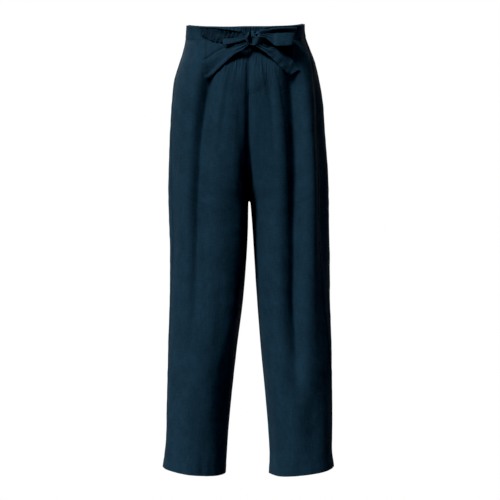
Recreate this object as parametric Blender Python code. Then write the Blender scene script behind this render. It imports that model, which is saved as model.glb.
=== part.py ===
"""Samue trousers in plain indigo cloth, worn and hollow, tied at the waist with a bow.

Metres, +Z up, the front towards -Y. The origin is the middle of the waist opening, half way up the
waistband. Right and left are the wearer's: the right leg is at -X and the left leg at +X.

Every cut piece is a wall on one smooth form. A point of that form is given by its side, its turn and
its level. The turn goes round half of the body, from 0 at the centre front seam (or the inseam, below
the crotch) past 0.5 at the hip to 1 at the centre back seam. The level is the height at the hip.
"""
import math

import bmesh
import bpy
import numpy as np

# Driving dimensions
SEAM_GAP = 0.0003           # between two cut pieces
PANEL_WALL = 0.0020         # leg cloth
BAND_WALL = 0.0032          # folded waistband
BAND_PROUD = 0.0006         # waistband outside the leg cloth
TIE_WALL = 0.0018           # sewn tie, two layers pressed flat
BAND_TOP = 0.0145
BAND_FOOT = -0.0145
CROTCH = -0.377
HEM = -0.9715
WAIST_DIP = 0.0158          # the waist is lower at the front than at the hips
HIP_DROP = {"right": 0.0035, "left": 0.0}
DIP_FADE = 0.130            # how far down from the waist the dip reaches
HEM_TILT = 0.0065           # the hem is higher outside the leg and lower inside it
TILT_FADE = 0.200
SEAM_CALM = 0.03            # share of a turn beside the centre seams and inseams that stays free of folds
RING_LENGTH = 0.46          # cloth round half of the body, which turns a width into a share of a turn
FLY_WIDTH = 0.036
FLY_FOOT = -0.142
FLY_WALL = 0.0012
FLY_STAND = 0.0005
FLY_LAP = 0.0022            # the fly laps over the centre front seam
FLY_CURVE_FROM = 0.70       # share of the fly's length at which its foot starts to curve in
FLY_TIP = 0.004             # width left at the very foot
FLY_ROWS = 12
FLY_COLUMNS = 7
KNOT_X = 0.0106
KNOT_Z = -0.0275
KNOT_HALF_WIDTH = 0.0185
KNOT_HALF_HEIGHT = 0.0160
KNOT_HALF_DEPTH = 0.0105
KNOT_FLAT = 0.55            # share of the half depth at which the back is cut flat
KNOT_STAND = 0.0051         # the back of the knot, just off the tie under it

# Mesh density
FRONT_COLUMNS = 22
BACK_COLUMNS = 15
TORSO_ROWS = 13
LEG_ROWS = 13
TORSO_CROWDING = 1.6        # above 1, rows crowd towards the crotch
LEG_CROWDING = 1.15
KNOT_SEGMENTS = 24
KNOT_RINGS = 14
NORMAL_STEP = 0.002         # in turns and in metres

SIDES = {"right": -1, "left": 1}

# One row for each section: height, half widths, the ridge of each leg, depth to the front and back,
# how far the fork between the legs is closed (0 flat, 1 shut), and where the outseam lies
SECTION_COLUMNS = (
    "height", "out_right", "out_left", "in_right", "in_left", "ridge",
    "front", "back", "fork_front", "fork_back", "seam_right", "seam_left")
SECTIONS = (
    (0.020, 0.1340, 0.1205, 0.0, 0.0, 0.034, 0.0940, 0.0960, 0.02, 0.02, 0.480, 0.470),
    (-0.015, 0.1368, 0.1236, 0.0, 0.0, 0.036, 0.0965, 0.0995, 0.03, 0.03, 0.476, 0.455),
    (-0.043, 0.1418, 0.1336, 0.0, 0.0, 0.044, 0.1020, 0.1070, 0.06, 0.05, 0.470, 0.440),
    (-0.075, 0.1520, 0.1455, 0.0, 0.0, 0.053, 0.1080, 0.1145, 0.13, 0.09, 0.464, 0.428),
    (-0.110, 0.1632, 0.1552, 0.0, 0.0, 0.062, 0.1120, 0.1215, 0.22, 0.14, 0.458, 0.418),
    (-0.160, 0.1690, 0.1642, 0.0, 0.0, 0.072, 0.1140, 0.1285, 0.34, 0.23, 0.452, 0.402),
    (-0.230, 0.1733, 0.1690, 0.0, 0.0, 0.081, 0.1130, 0.1315, 0.50, 0.42, 0.446, 0.385),
    (-0.300, 0.1755, 0.1750, 0.0, 0.0, 0.086, 0.1100, 0.1265, 0.70, 0.68, 0.442, 0.374),
    (-0.345, 0.1772, 0.1765, 0.0, 0.0, 0.088, 0.1075, 0.1190, 0.87, 0.88, 0.440, 0.370),
    (-0.377, 0.1775, 0.1775, 0.0012, 0.0028, 0.089, 0.1060, 0.1135, 1.00, 1.00, 0.440, 0.368),
    (-0.430, 0.1762, 0.1780, 0.0022, 0.0072, 0.090, 0.1035, 0.1060, 1.00, 1.00, 0.440, 0.373),
    (-0.483, 0.1750, 0.1790, 0.0046, 0.0105, 0.092, 0.1005, 0.1000, 1.00, 1.00, 0.442, 0.381),
    (-0.593, 0.1745, 0.1800, 0.0130, 0.0178, 0.095, 0.0945, 0.0915, 1.00, 1.00, 0.448, 0.396),
    (-0.703, 0.1780, 0.1835, 0.0272, 0.0262, 0.103, 0.0880, 0.0865, 1.00, 1.00, 0.460, 0.430),
    (-0.813, 0.1808, 0.1848, 0.0392, 0.0368, 0.110, 0.0805, 0.0820, 1.00, 1.00, 0.470, 0.456),
    (-0.890, 0.1832, 0.1840, 0.0462, 0.0432, 0.114, 0.0750, 0.0780, 1.00, 1.00, 0.476, 0.470),
    (-0.930, 0.1862, 0.1836, 0.0488, 0.0456, 0.116, 0.0730, 0.0760, 1.00, 1.00, 0.478, 0.476),
    (-0.985, 0.1935, 0.1905, 0.0522, 0.0440, 0.118, 0.0710, 0.0745, 1.00, 1.00, 0.480, 0.480),
)

# One row for each main fold: where it starts and ends in turn and level, its half widths towards the
# centre seam and towards the outseam, its depth (negative for a ridge), and how far it fades at each end
FOLD_COLUMNS = (
    "side", "turn_top", "turn_foot", "top", "foot", "centreward", "outward", "depth",
    "fade_top", "fade_foot")
FOLDS = (
    ("right", 0.288, 0.322, -0.035, -0.800, 0.013, 0.021, 0.0120, 0.12, 0.35),
    ("right", 0.165, 0.185, -0.050, -0.300, 0.012, 0.012, 0.0025, 0.30, 0.60),
    ("right", 0.205, 0.240, -0.060, -0.420, 0.030, 0.022, -0.0040, 0.25, 0.60),
    ("right", 0.400, 0.425, -0.180, -0.640, 0.020, 0.022, 0.0035, 0.40, 0.50),
    ("right", 0.110, 0.140, -0.640, -0.940, 0.022, 0.020, 0.0035, 0.40, 0.40),
    ("left", 0.262, 0.222, -0.035, -0.800, 0.021, 0.013, 0.0150, 0.12, 0.35),
    ("left", 0.170, 0.160, -0.050, -0.330, 0.014, 0.012, 0.0030, 0.30, 0.60),
    ("left", 0.440, 0.400, -0.060, -0.600, 0.012, 0.024, 0.0130, 0.18, 0.45),
    ("left", 0.318, 0.305, -0.080, -0.620, 0.018, 0.018, -0.0040, 0.30, 0.50),
    ("left", 0.330, 0.300, -0.760, -0.950, 0.022, 0.022, 0.0035, 0.40, 0.30),
    ("right", 0.715, 0.690, -0.030, -0.520, 0.020, 0.015, 0.0100, 0.12, 0.50),
    ("right", 0.830, 0.790, -0.310, -0.600, 0.024, 0.018, 0.0070, 0.35, 0.50),
    ("right", 0.615, 0.600, -0.090, -0.800, 0.018, 0.022, 0.0080, 0.25, 0.50),
    ("right", 0.765, 0.745, -0.560, -0.930, 0.020, 0.024, 0.0060, 0.35, 0.35),
    ("left", 0.728, 0.700, -0.030, -0.600, 0.018, 0.016, 0.0110, 0.12, 0.50),
    ("left", 0.845, 0.800, -0.320, -0.560, 0.022, 0.020, 0.0065, 0.35, 0.50),
    ("left", 0.600, 0.585, -0.140, -0.760, 0.020, 0.024, 0.0075, 0.30, 0.50),
    ("left", 0.760, 0.720, -0.620, -0.940, 0.022, 0.022, 0.0055, 0.35, 0.30),
)

# The tie, a row for each place along it: x and z of its upper and lower edge and how far it stands off
# the cloth. A loop runs out on its front layer and comes back on the layer behind it.
STRIP_COLUMNS = ("x_upper", "z_upper", "x_lower", "z_lower", "stand")
TIE_STRIPS = {
    "tie_strap_right": (
        (-0.1010, -0.0040, -0.1010, -0.0205, 0.0022),
        (-0.0940, -0.0038, -0.0935, -0.0250, 0.0030),
        (-0.0720, -0.0055, -0.0720, -0.0330, 0.0036),
        (-0.0430, -0.0085, -0.0430, -0.0350, 0.0036),
        (-0.0180, -0.0130, -0.0170, -0.0345, 0.0038),
        (0.0098, -0.0195, 0.0098, -0.0330, 0.0038)),
    "tie_strap_left": (
        (0.0105, -0.0190, 0.0105, -0.0300, 0.0038),
        (0.0250, -0.0080, 0.0250, -0.0225, 0.0038),
        (0.0500, -0.0010, 0.0500, -0.0150, 0.0036),
        (0.0760, 0.0030, 0.0760, -0.0120, 0.0032),
        (0.0930, 0.0050, 0.0930, -0.0105, 0.0026),
        (0.0990, 0.0050, 0.0990, -0.0095, 0.0022)),
    "tie_loop_right": (
        (-0.0083, -0.0235, -0.0083, -0.0330, 0.0124),
        (-0.0180, -0.0256, -0.0180, -0.0365, 0.0150),
        (-0.0360, -0.0270, -0.0360, -0.0390, 0.0162),
        (-0.0510, -0.0278, -0.0510, -0.0398, 0.0145),
        (-0.0565, -0.0280, -0.0565, -0.0400, 0.0112),
        (-0.0510, -0.0276, -0.0510, -0.0396, 0.0080),
        (-0.0360, -0.0265, -0.0360, -0.0385, 0.0068),
        (-0.0190, -0.0250, -0.0190, -0.0355, 0.0078),
        (-0.0083, -0.0235, -0.0083, -0.0325, 0.0094)),
    "tie_loop_left": (
        (0.0296, -0.0200, 0.0296, -0.0345, 0.0126),
        (0.0390, -0.0168, 0.0390, -0.0385, 0.0180),
        (0.0550, -0.0140, 0.0560, -0.0415, 0.0225),
        (0.0770, -0.0135, 0.0770, -0.0420, 0.0225),
        (0.0915, -0.0135, 0.0905, -0.0415, 0.0190),
        (0.0955, -0.0135, 0.0945, -0.0412, 0.0145),
        (0.0905, -0.0135, 0.0895, -0.0408, 0.0100),
        (0.0740, -0.0140, 0.0740, -0.0400, 0.0072),
        (0.0540, -0.0155, 0.0540, -0.0390, 0.0068),
        (0.0390, -0.0180, 0.0390, -0.0365, 0.0078),
        (0.0296, -0.0205, 0.0296, -0.0335, 0.0094)),
    "tie_tail_right": (
        (-0.0066, -0.0370, -0.0006, -0.0420, 0.0112),
        (-0.0220, -0.0410, -0.0130, -0.0520, 0.0096),
        (-0.0400, -0.0440, -0.0300, -0.0610, 0.0080),
        (-0.0570, -0.0480, -0.0450, -0.0725, 0.0070),
        (-0.0740, -0.0570, -0.0620, -0.0870, 0.0066),
        (-0.0890, -0.0680, -0.0800, -0.1010, 0.0064),
        (-0.1015, -0.0755, -0.0966, -0.1130, 0.0062)),
    "tie_tail_left": (
        (0.0278, -0.0385, 0.0140, -0.0448, 0.0112),
        (0.0400, -0.0450, 0.0280, -0.0540, 0.0098),
        (0.0560, -0.0470, 0.0420, -0.0640, 0.0085),
        (0.0720, -0.0540, 0.0560, -0.0760, 0.0075),
        (0.0870, -0.0650, 0.0700, -0.0890, 0.0070),
        (0.1000, -0.0780, 0.0820, -0.0985, 0.0068),
        (0.1090, -0.0900, 0.0890, -0.1040, 0.0066)),
}
STRIP_ROWS = {"tie_loop_right": 22, "tie_loop_left": 28}
STRIP_ROWS_PLAIN = 16
STRIP_COLUMNS_ACROSS = 4

INDIGO = (0.0075, 0.0255, 0.0470, 1.0)
INDIGO_TIE = (0.0080, 0.0265, 0.0480, 1.0)


def clear_scene():
    """Removes what the file holds at the start."""
    for thing in list(bpy.data.objects):
        bpy.data.objects.remove(thing, do_unlink=True)


def cloth_material(name, colour):
    """A matt woven cloth."""
    material = bpy.data.materials.new(name)
    material.use_nodes = True
    shader = material.node_tree.nodes["Principled BSDF"]
    shader.inputs["Base Color"].default_value = colour
    shader.inputs["Roughness"].default_value = 0.86
    shader.inputs["Metallic"].default_value = 0.0
    return material


def smoothstep(value):
    """Rises from 0 to 1 with level ends."""
    clipped = np.clip(value, 0.0, 1.0)
    return clipped * clipped * (3.0 - 2.0 * clipped)


def through(knots, values, places):
    """Reads a smooth curve through the table's values, with the slope at a knot that of its neighbours."""
    slopes = np.gradient(values, knots)
    index = np.clip(np.searchsorted(knots, places) - 1, 0, len(knots) - 2)
    step = knots[index + 1] - knots[index]
    share = np.clip((places - knots[index]) / step, 0.0, 1.0)
    square = share * share
    cube = square * share
    start = (2.0 * cube - 3.0 * square + 1.0) * values[index]
    end = (3.0 * square - 2.0 * cube) * values[index + 1]
    leave = (cube - 2.0 * square + share) * step * slopes[index]
    arrive = (cube - square) * step * slopes[index + 1]
    return start + leave + end + arrive


def section(name, height):
    """One named column of the section table at the given heights."""
    column = SECTION_COLUMNS.index(name)
    heights = np.array([row[0] for row in SECTIONS])[::-1]
    values = np.array([row[column] for row in SECTIONS])[::-1]
    return through(heights, values, np.asarray(height, dtype=float))


def height_of(side, turn, level):
    """The height of a level: it dips across the front of the waist and tilts with the leg at the hem."""
    round_body = 1.0 - np.abs(2.0 * turn - 1.0)
    front = np.where(turn < 0.5, 1.0 - round_body ** 4, 0.0)
    waist = smoothstep((level - BAND_FOOT + DIP_FADE) / DIP_FADE)
    dip = (WAIST_DIP * front + HIP_DROP[side] * round_body ** 2) * waist
    tilt = HEM_TILT * np.cos(math.pi * (1.0 - round_body)) * smoothstep((HEM + TILT_FADE - level) / TILT_FADE)
    return level - dip + tilt


def form(side, turn, height):
    """The smooth form without folds, for x counted away from the centre.

    Each quarter of a section is two arcs. From the hip to the ridge of the leg it is a quarter of an
    ellipse. From the ridge inwards it is an ellipse that is cut off at the centre plane above the crotch,
    so that the two halves meet in a fork, and that runs on to the inseam below it.
    """
    outside = section("out_" + side, height)
    inside = np.where(height < CROTCH, section("in_" + side, height), 0.0)
    ridge = section("ridge", height)
    is_front = turn < 0.5
    depth = np.where(is_front, -section("front", height), section("back", height))
    last = np.arcsin(fork_share(is_front, height))
    away = np.abs(2.0 * turn - 1.0)
    outer_angle = math.pi * away
    inner_angle = (2.0 * away - 1.0) * last
    is_outer = away < 0.5
    reach = (ridge - inside) / np.sin(last)
    x = np.where(is_outer, ridge + (outside - ridge) * np.cos(outer_angle), ridge - reach * np.sin(inner_angle))
    y = np.where(is_outer, depth * np.sin(outer_angle), depth * np.cos(inner_angle))
    return np.stack([x, y, height + 0.0 * x], axis=-1)


def fork_share(is_front, height):
    """How far the fork between the legs is closed: from almost 0 at the waist to 1 from the crotch down."""
    share = np.where(is_front, section("fork_front", height), section("fork_back", height))
    return np.where(height < CROTCH, 1.0, np.clip(share, 0.01, 1.0))


def outward(side, turn, height):
    """The unit normal of the smooth form, from small steps round it and down it."""
    before = np.clip(turn - NORMAL_STEP, 0.0, 1.0)
    after = np.clip(turn + NORMAL_STEP, 0.0, 1.0)
    around = form(side, after, height) - form(side, before, height)
    down = form(side, turn, height - NORMAL_STEP) - form(side, turn, height + NORMAL_STEP)
    normal = np.cross(down, around)
    return normal / np.linalg.norm(normal, axis=-1, keepdims=True)


def fold_depth(side, turn, level):
    """How far the main folds move the cloth out of the smooth form. Each is a soft trough with unlike slopes."""
    moved = np.zeros(np.broadcast(turn, level).shape)
    for row in FOLDS:
        fold = dict(zip(FOLD_COLUMNS, row))
        if fold["side"] != side:
            continue
        along = np.clip((fold["top"] - level) / (fold["top"] - fold["foot"]), 0.0, 1.0)
        place = fold["turn_top"] + (fold["turn_foot"] - fold["turn_top"]) * along
        across = (turn - place) * RING_LENGTH
        to_centre = across < 0.0 if fold["turn_top"] < 0.5 else across > 0.0
        width = np.where(to_centre, fold["centreward"], fold["outward"])
        fade = smoothstep(along / fold["fade_top"]) * smoothstep((1.0 - along) / fold["fade_foot"])
        moved -= fold["depth"] * fade * np.exp(-(across / width) ** 2)
    from_seam = 0.5 - np.abs(turn - 0.5)
    return moved * smoothstep(from_seam / SEAM_CALM)


def cloth(side, turn, level, lift):
    """Points of the cloth, lifted off the form, on their own side of the centre plane."""
    turn, level = np.broadcast_arrays(np.asarray(turn, dtype=float), np.asarray(level, dtype=float))
    height = height_of(side, turn, level)
    moved = fold_depth(side, turn, level) + lift
    points = form(side, turn, height) + outward(side, turn, height) * moved[..., None]
    points[..., 0] = np.maximum(points[..., 0], 0.5 * SEAM_GAP) * SIDES[side]
    return points


def front_turn(side, away, z):
    """The turn at which the smooth front is this far from the centre plane."""
    ridge = section("ridge", z)
    fork = fork_share(True, z)
    outside = section("out_" + side, z)
    inner = np.arcsin(np.clip((ridge - away) * fork / ridge, -1.0, 1.0)) / np.arcsin(fork)
    outer = np.arccos(np.clip((away - ridge) / (outside - ridge), -1.0, 1.0)) / math.pi
    return 0.5 - 0.5 * np.where(away < ridge, 0.5 + 0.5 * inner, outer)


def laid(x, z, stand):
    """Points that stand off the smooth front over the given x and z, made from its points moved out."""
    points = np.zeros(x.shape + (3,))
    for side, sign in SIDES.items():
        here = x * sign >= 0.0
        turn = front_turn(side, np.abs(x), z)
        off = form(side, turn, z) + outward(side, turn, z) * (stand + 0.0 * x)[..., None]
        off[..., 0] *= sign
        points[here] = off[here]
    return points


def add_mesh(name, points, faces, material, collection):
    """A named object from points and faces, shaded smooth with its sharp edges kept."""
    mesh = bpy.data.meshes.new(name)
    mesh.from_pydata(points, [], faces)
    mesh.materials.append(material)
    mesh.validate()
    body = bmesh.new()
    body.from_mesh(mesh)
    bmesh.ops.recalc_face_normals(body, faces=body.faces)
    bmesh.ops.triangulate(body, faces=body.faces)
    body.to_mesh(mesh)
    body.free()
    mesh.shade_smooth()
    mesh.set_sharp_from_angle(angle=math.radians(50))
    piece = bpy.data.objects.new(name, mesh)
    collection.objects.link(piece)
    return piece


def wall(name, outer, inner, material, collection):
    """Lofts a closed wall between two grids of points with the same rows and columns."""
    rows, columns = outer.shape[:2]
    index = np.arange(rows * columns).reshape(rows, columns)
    quads = np.stack([index[:-1, :-1], index[1:, :-1], index[1:, 1:], index[:-1, 1:]], axis=-1).reshape(-1, 4)
    under = quads[:, ::-1] + rows * columns
    rim = np.concatenate([index[0], index[1:, -1], index[-1, -2::-1], index[-2:0:-1, 0]])
    following = np.roll(rim, -1)
    edges = np.stack([rim, following, following + rows * columns, rim + rows * columns], axis=-1)
    faces = np.concatenate([quads, under, edges]).tolist()
    points = np.concatenate([outer.reshape(-1, 3), inner.reshape(-1, 3)]).tolist()
    return add_mesh(name, points, faces, material, collection)


def panel_levels():
    """Rows of a leg panel, from the waistband to the hem, closer together where the fork opens."""
    top = BAND_FOOT - SEAM_GAP
    torso = CROTCH + (top - CROTCH) * np.linspace(1.0, 0.0, TORSO_ROWS + 1) ** TORSO_CROWDING
    leg = CROTCH + (HEM - CROTCH) * np.linspace(0.0, 1.0, LEG_ROWS + 1)[1:] ** LEG_CROWDING
    return np.concatenate([torso, leg])


def panel_turns(side, is_front, level):
    """Columns of a leg panel, from the centre front to the outseam or from there to the centre back."""
    trim = 0.5 * SEAM_GAP / RING_LENGTH
    seam = section("seam_" + side, level)
    if is_front:
        return trim + (seam - 2.0 * trim) * np.linspace(0.0, 1.0, FRONT_COLUMNS)[None, :]
    return seam + trim + (1.0 - seam - 2.0 * trim) * np.linspace(0.0, 1.0, BACK_COLUMNS)[None, :]


def leg_panel(side, is_front, material, collection):
    """One front or back, from the waistband to the hem and from the outseam to the centre seam or inseam."""
    level = panel_levels()[:, None]
    turn = panel_turns(side, is_front, level)
    name = ("front_" if is_front else "back_") + side
    outer = cloth(side, turn, level, 0.0)
    inner = cloth(side, turn, level, -PANEL_WALL)
    return wall(name, outer, inner, material, collection)


def waistband(side, material, collection):
    """Half of the folded band, from the centre front to the centre back, with the columns of the panels."""
    level = np.array([BAND_TOP, 0.0, BAND_FOOT])[:, None]
    top = np.array([[BAND_FOOT - SEAM_GAP]])
    turn = np.concatenate([panel_turns(side, True, top), panel_turns(side, False, top)], axis=1)
    outer = cloth(side, turn, level, BAND_PROUD)
    inner = cloth(side, turn, level, BAND_PROUD - BAND_WALL)
    return wall("waistband_" + side, outer, inner, material, collection)


def fly(material, collection):
    """The fly, made from the left front's points moved out: straight at the centre, curved in at its foot."""
    share = np.linspace(0.0, 1.0, FLY_ROWS)[:, None]
    across = np.linspace(0.0, 1.0, FLY_COLUMNS)[None, :]
    top = BAND_FOOT - WAIST_DIP - 2.0 * SEAM_GAP
    z = top + (FLY_FOOT - top) * share
    curving = np.clip((share - FLY_CURVE_FROM) / (1.0 - FLY_CURVE_FROM), 0.0, 1.0)
    width = np.maximum(FLY_WIDTH * np.sqrt(1.0 - curving ** 2), FLY_TIP)
    x = -FLY_LAP + (FLY_LAP + width) * across
    z = np.broadcast_to(z, x.shape)
    outer = laid(x, z, FLY_STAND + FLY_WALL)
    inner = laid(x, z, FLY_STAND)
    return wall("fly", outer, inner, material, collection)


def strip(name, material, collection):
    """A stretch of the tie: a ruled strip between its two edges, each a smooth curve, with a thin wall."""
    table = np.array(TIE_STRIPS[name])
    knots = np.arange(len(table), dtype=float)
    places = np.linspace(0.0, knots[-1], STRIP_ROWS.get(name, STRIP_ROWS_PLAIN))
    along = {title: through(knots, table[:, column], places) for column, title in enumerate(STRIP_COLUMNS)}
    across = np.linspace(0.0, 1.0, STRIP_COLUMNS_ACROSS)[None, :]
    x = along["x_upper"][:, None] * (1.0 - across) + along["x_lower"][:, None] * across
    z = along["z_upper"][:, None] * (1.0 - across) + along["z_lower"][:, None] * across
    middle = laid(x, z, along["stand"][:, None])
    normal = np.cross(np.gradient(middle, axis=0), np.gradient(middle, axis=1))
    normal /= np.linalg.norm(normal, axis=-1, keepdims=True)
    half = 0.5 * TIE_WALL
    return wall(name, middle + half * normal, middle - half * normal, material, collection)


def knot(material, collection):
    """The knot: a squashed ball of cloth turns, its flat back laid on the tie like the other strips."""
    body = bmesh.new()
    bmesh.ops.create_uvsphere(body, u_segments=KNOT_SEGMENTS, v_segments=KNOT_RINGS, radius=1.0)
    ball = np.array([point.co for point in body.verts])
    bulge = np.clip(-ball[:, 1], -KNOT_FLAT, 1.0) + KNOT_FLAT
    turns = 1.0 + 0.12 * np.cos(5.0 * ball[:, 0] + 1.5 * ball[:, 2])
    x = KNOT_X + KNOT_HALF_WIDTH * ball[:, 0] * (1.0 - 0.12 * ball[:, 2])
    z = KNOT_Z + KNOT_HALF_HEIGHT * ball[:, 2]
    places = laid(x, z, KNOT_STAND + KNOT_HALF_DEPTH * bulge * turns)
    for point, place in zip(body.verts, places):
        point.co = place
    mesh = bpy.data.meshes.new("tie_knot")
    body.to_mesh(mesh)
    body.free()
    mesh.materials.append(material)
    mesh.shade_smooth()
    piece = bpy.data.objects.new("tie_knot", mesh)
    collection.objects.link(piece)
    return piece


def main():
    clear_scene()
    collection = bpy.data.collections.new("samue_trousers")
    bpy.context.scene.collection.children.link(collection)
    indigo = cloth_material("indigo_cloth", INDIGO)
    tie_cloth = cloth_material("indigo_tie", INDIGO_TIE)
    for side in SIDES:
        leg_panel(side, True, indigo, collection)
        leg_panel(side, False, indigo, collection)
        waistband(side, indigo, collection)
    fly(indigo, collection)
    for name in TIE_STRIPS:
        strip(name, tie_cloth, collection)
    knot(tie_cloth, collection)


main()
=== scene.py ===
"""Indigo samue trousers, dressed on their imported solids.

Metres, +Z up, the front towards -Y. Right and left are the wearer's: the right leg is at -X. Each cut
piece is a thin shell on the form of its solid, with finer folds, seams and stitches. A point of the form
is given by its side, its turn and its level. The turn goes round half of the body, from 0 at the centre
front seam or the inseam, past 0.5 at the hip, to 1 at the centre back. The level is the height at the hip.
"""

import math

import bpy
import numpy as np
from bpy.props import FloatProperty, FloatVectorProperty, PointerProperty
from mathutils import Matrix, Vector


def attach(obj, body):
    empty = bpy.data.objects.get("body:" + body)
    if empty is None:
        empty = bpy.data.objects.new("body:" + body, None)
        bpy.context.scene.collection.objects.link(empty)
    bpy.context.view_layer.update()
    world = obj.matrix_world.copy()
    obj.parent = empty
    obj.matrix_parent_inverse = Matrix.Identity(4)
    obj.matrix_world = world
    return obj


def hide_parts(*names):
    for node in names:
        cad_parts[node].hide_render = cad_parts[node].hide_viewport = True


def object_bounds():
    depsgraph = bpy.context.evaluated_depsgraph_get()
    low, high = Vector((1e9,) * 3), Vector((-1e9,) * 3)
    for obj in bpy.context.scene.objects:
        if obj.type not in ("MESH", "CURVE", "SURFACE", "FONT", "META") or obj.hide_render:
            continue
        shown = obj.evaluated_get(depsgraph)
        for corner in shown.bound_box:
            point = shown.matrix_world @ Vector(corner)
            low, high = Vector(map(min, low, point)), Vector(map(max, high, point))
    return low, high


bl_info = {
    "name": "Samue Trousers",
    "version": (1, 0, 0),
    "blender": (4, 5, 0),
    "location": "View3D > Sidebar > Samue",
    "description": "Builds indigo samue trousers with a tied waist round their packed solids",
    "category": "Add Mesh",
}

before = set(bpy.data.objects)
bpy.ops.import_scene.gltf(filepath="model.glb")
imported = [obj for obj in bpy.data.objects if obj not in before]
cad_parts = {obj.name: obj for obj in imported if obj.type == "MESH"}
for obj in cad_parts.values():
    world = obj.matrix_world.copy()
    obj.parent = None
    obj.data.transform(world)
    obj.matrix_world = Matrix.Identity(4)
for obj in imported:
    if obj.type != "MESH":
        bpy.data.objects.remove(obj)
CAD_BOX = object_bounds()
BODY = "root"

# Sizes shared with the solids
SEAM_GAP = 0.0003
BAND_PROUD = 0.0006
BAND_TOP = 0.0145
BAND_FOOT = -0.0145
CROTCH = -0.377
HEM = -0.9715
WAIST_DIP = 0.0158          # how far the waist dips at the centre front, and below how far each hip drops
HIP_DROP = {"right": 0.0035, "left": 0.0}
DIP_FADE = 0.130            # the height over which both fade out
HEM_TILT = 0.0065
TILT_FADE = 0.200
SEAM_CALM = 0.03            # the turn over which folds fade at the centre seam
RING_LENGTH = 0.46          # metres of cloth round half of the body
FLY_WIDTH = 0.036
FLY_FOOT = -0.142
FLY_WALL = 0.0012
FLY_STAND = 0.0004
FLY_LAP = 0.0022
FLY_CURVE_FROM = 0.70
FLY_TIP = 0.004
KNOT_X = 0.0106
KNOT_Z = -0.0275
KNOT_HALF_WIDTH = 0.0185
KNOT_HALF_HEIGHT = 0.0160
KNOT_HALF_DEPTH = 0.0105
KNOT_FLAT = 0.55
KNOT_STAND = 0.0051
NORMAL_STEP = 0.002
SIDES = {"right": -1, "left": 1}

# One row for each section: height, half widths, the ridge of each leg, depth to the front and back,
# how far the fork between the legs is closed, and where the outseam lies
SECTION_COLUMNS = (
    "height", "out_right", "out_left", "in_right", "in_left", "ridge",
    "front", "back", "fork_front", "fork_back", "seam_right", "seam_left")
SECTIONS = (
    (0.020, 0.1340, 0.1205, 0.0, 0.0, 0.034, 0.0940, 0.0960, 0.02, 0.02, 0.480, 0.470),
    (-0.015, 0.1368, 0.1236, 0.0, 0.0, 0.036, 0.0965, 0.0995, 0.03, 0.03, 0.476, 0.455),
    (-0.043, 0.1418, 0.1336, 0.0, 0.0, 0.044, 0.1020, 0.1070, 0.06, 0.05, 0.470, 0.440),
    (-0.075, 0.1520, 0.1455, 0.0, 0.0, 0.053, 0.1080, 0.1145, 0.13, 0.09, 0.464, 0.428),
    (-0.110, 0.1632, 0.1552, 0.0, 0.0, 0.062, 0.1120, 0.1215, 0.22, 0.14, 0.458, 0.418),
    (-0.160, 0.1690, 0.1642, 0.0, 0.0, 0.072, 0.1140, 0.1285, 0.34, 0.23, 0.452, 0.402),
    (-0.230, 0.1733, 0.1690, 0.0, 0.0, 0.081, 0.1130, 0.1315, 0.50, 0.42, 0.446, 0.385),
    (-0.300, 0.1755, 0.1750, 0.0, 0.0, 0.086, 0.1100, 0.1265, 0.70, 0.68, 0.442, 0.374),
    (-0.345, 0.1772, 0.1765, 0.0, 0.0, 0.088, 0.1075, 0.1190, 0.87, 0.88, 0.440, 0.370),
    (-0.377, 0.1775, 0.1775, 0.0012, 0.0028, 0.089, 0.1060, 0.1135, 1.00, 1.00, 0.440, 0.368),
    (-0.430, 0.1762, 0.1780, 0.0022, 0.0072, 0.090, 0.1035, 0.1060, 1.00, 1.00, 0.440, 0.373),
    (-0.483, 0.1750, 0.1790, 0.0046, 0.0105, 0.092, 0.1005, 0.1000, 1.00, 1.00, 0.442, 0.381),
    (-0.593, 0.1745, 0.1800, 0.0130, 0.0178, 0.095, 0.0945, 0.0915, 1.00, 1.00, 0.448, 0.396),
    (-0.703, 0.1780, 0.1835, 0.0272, 0.0262, 0.103, 0.0880, 0.0865, 1.00, 1.00, 0.460, 0.430),
    (-0.813, 0.1808, 0.1848, 0.0392, 0.0368, 0.110, 0.0805, 0.0820, 1.00, 1.00, 0.470, 0.456),
    (-0.890, 0.1832, 0.1840, 0.0462, 0.0432, 0.114, 0.0750, 0.0780, 1.00, 1.00, 0.476, 0.470),
    (-0.930, 0.1862, 0.1836, 0.0488, 0.0456, 0.116, 0.0730, 0.0760, 1.00, 1.00, 0.478, 0.476),
    (-0.985, 0.1935, 0.1905, 0.0522, 0.0440, 0.118, 0.0710, 0.0745, 1.00, 1.00, 0.480, 0.480),
)

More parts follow.
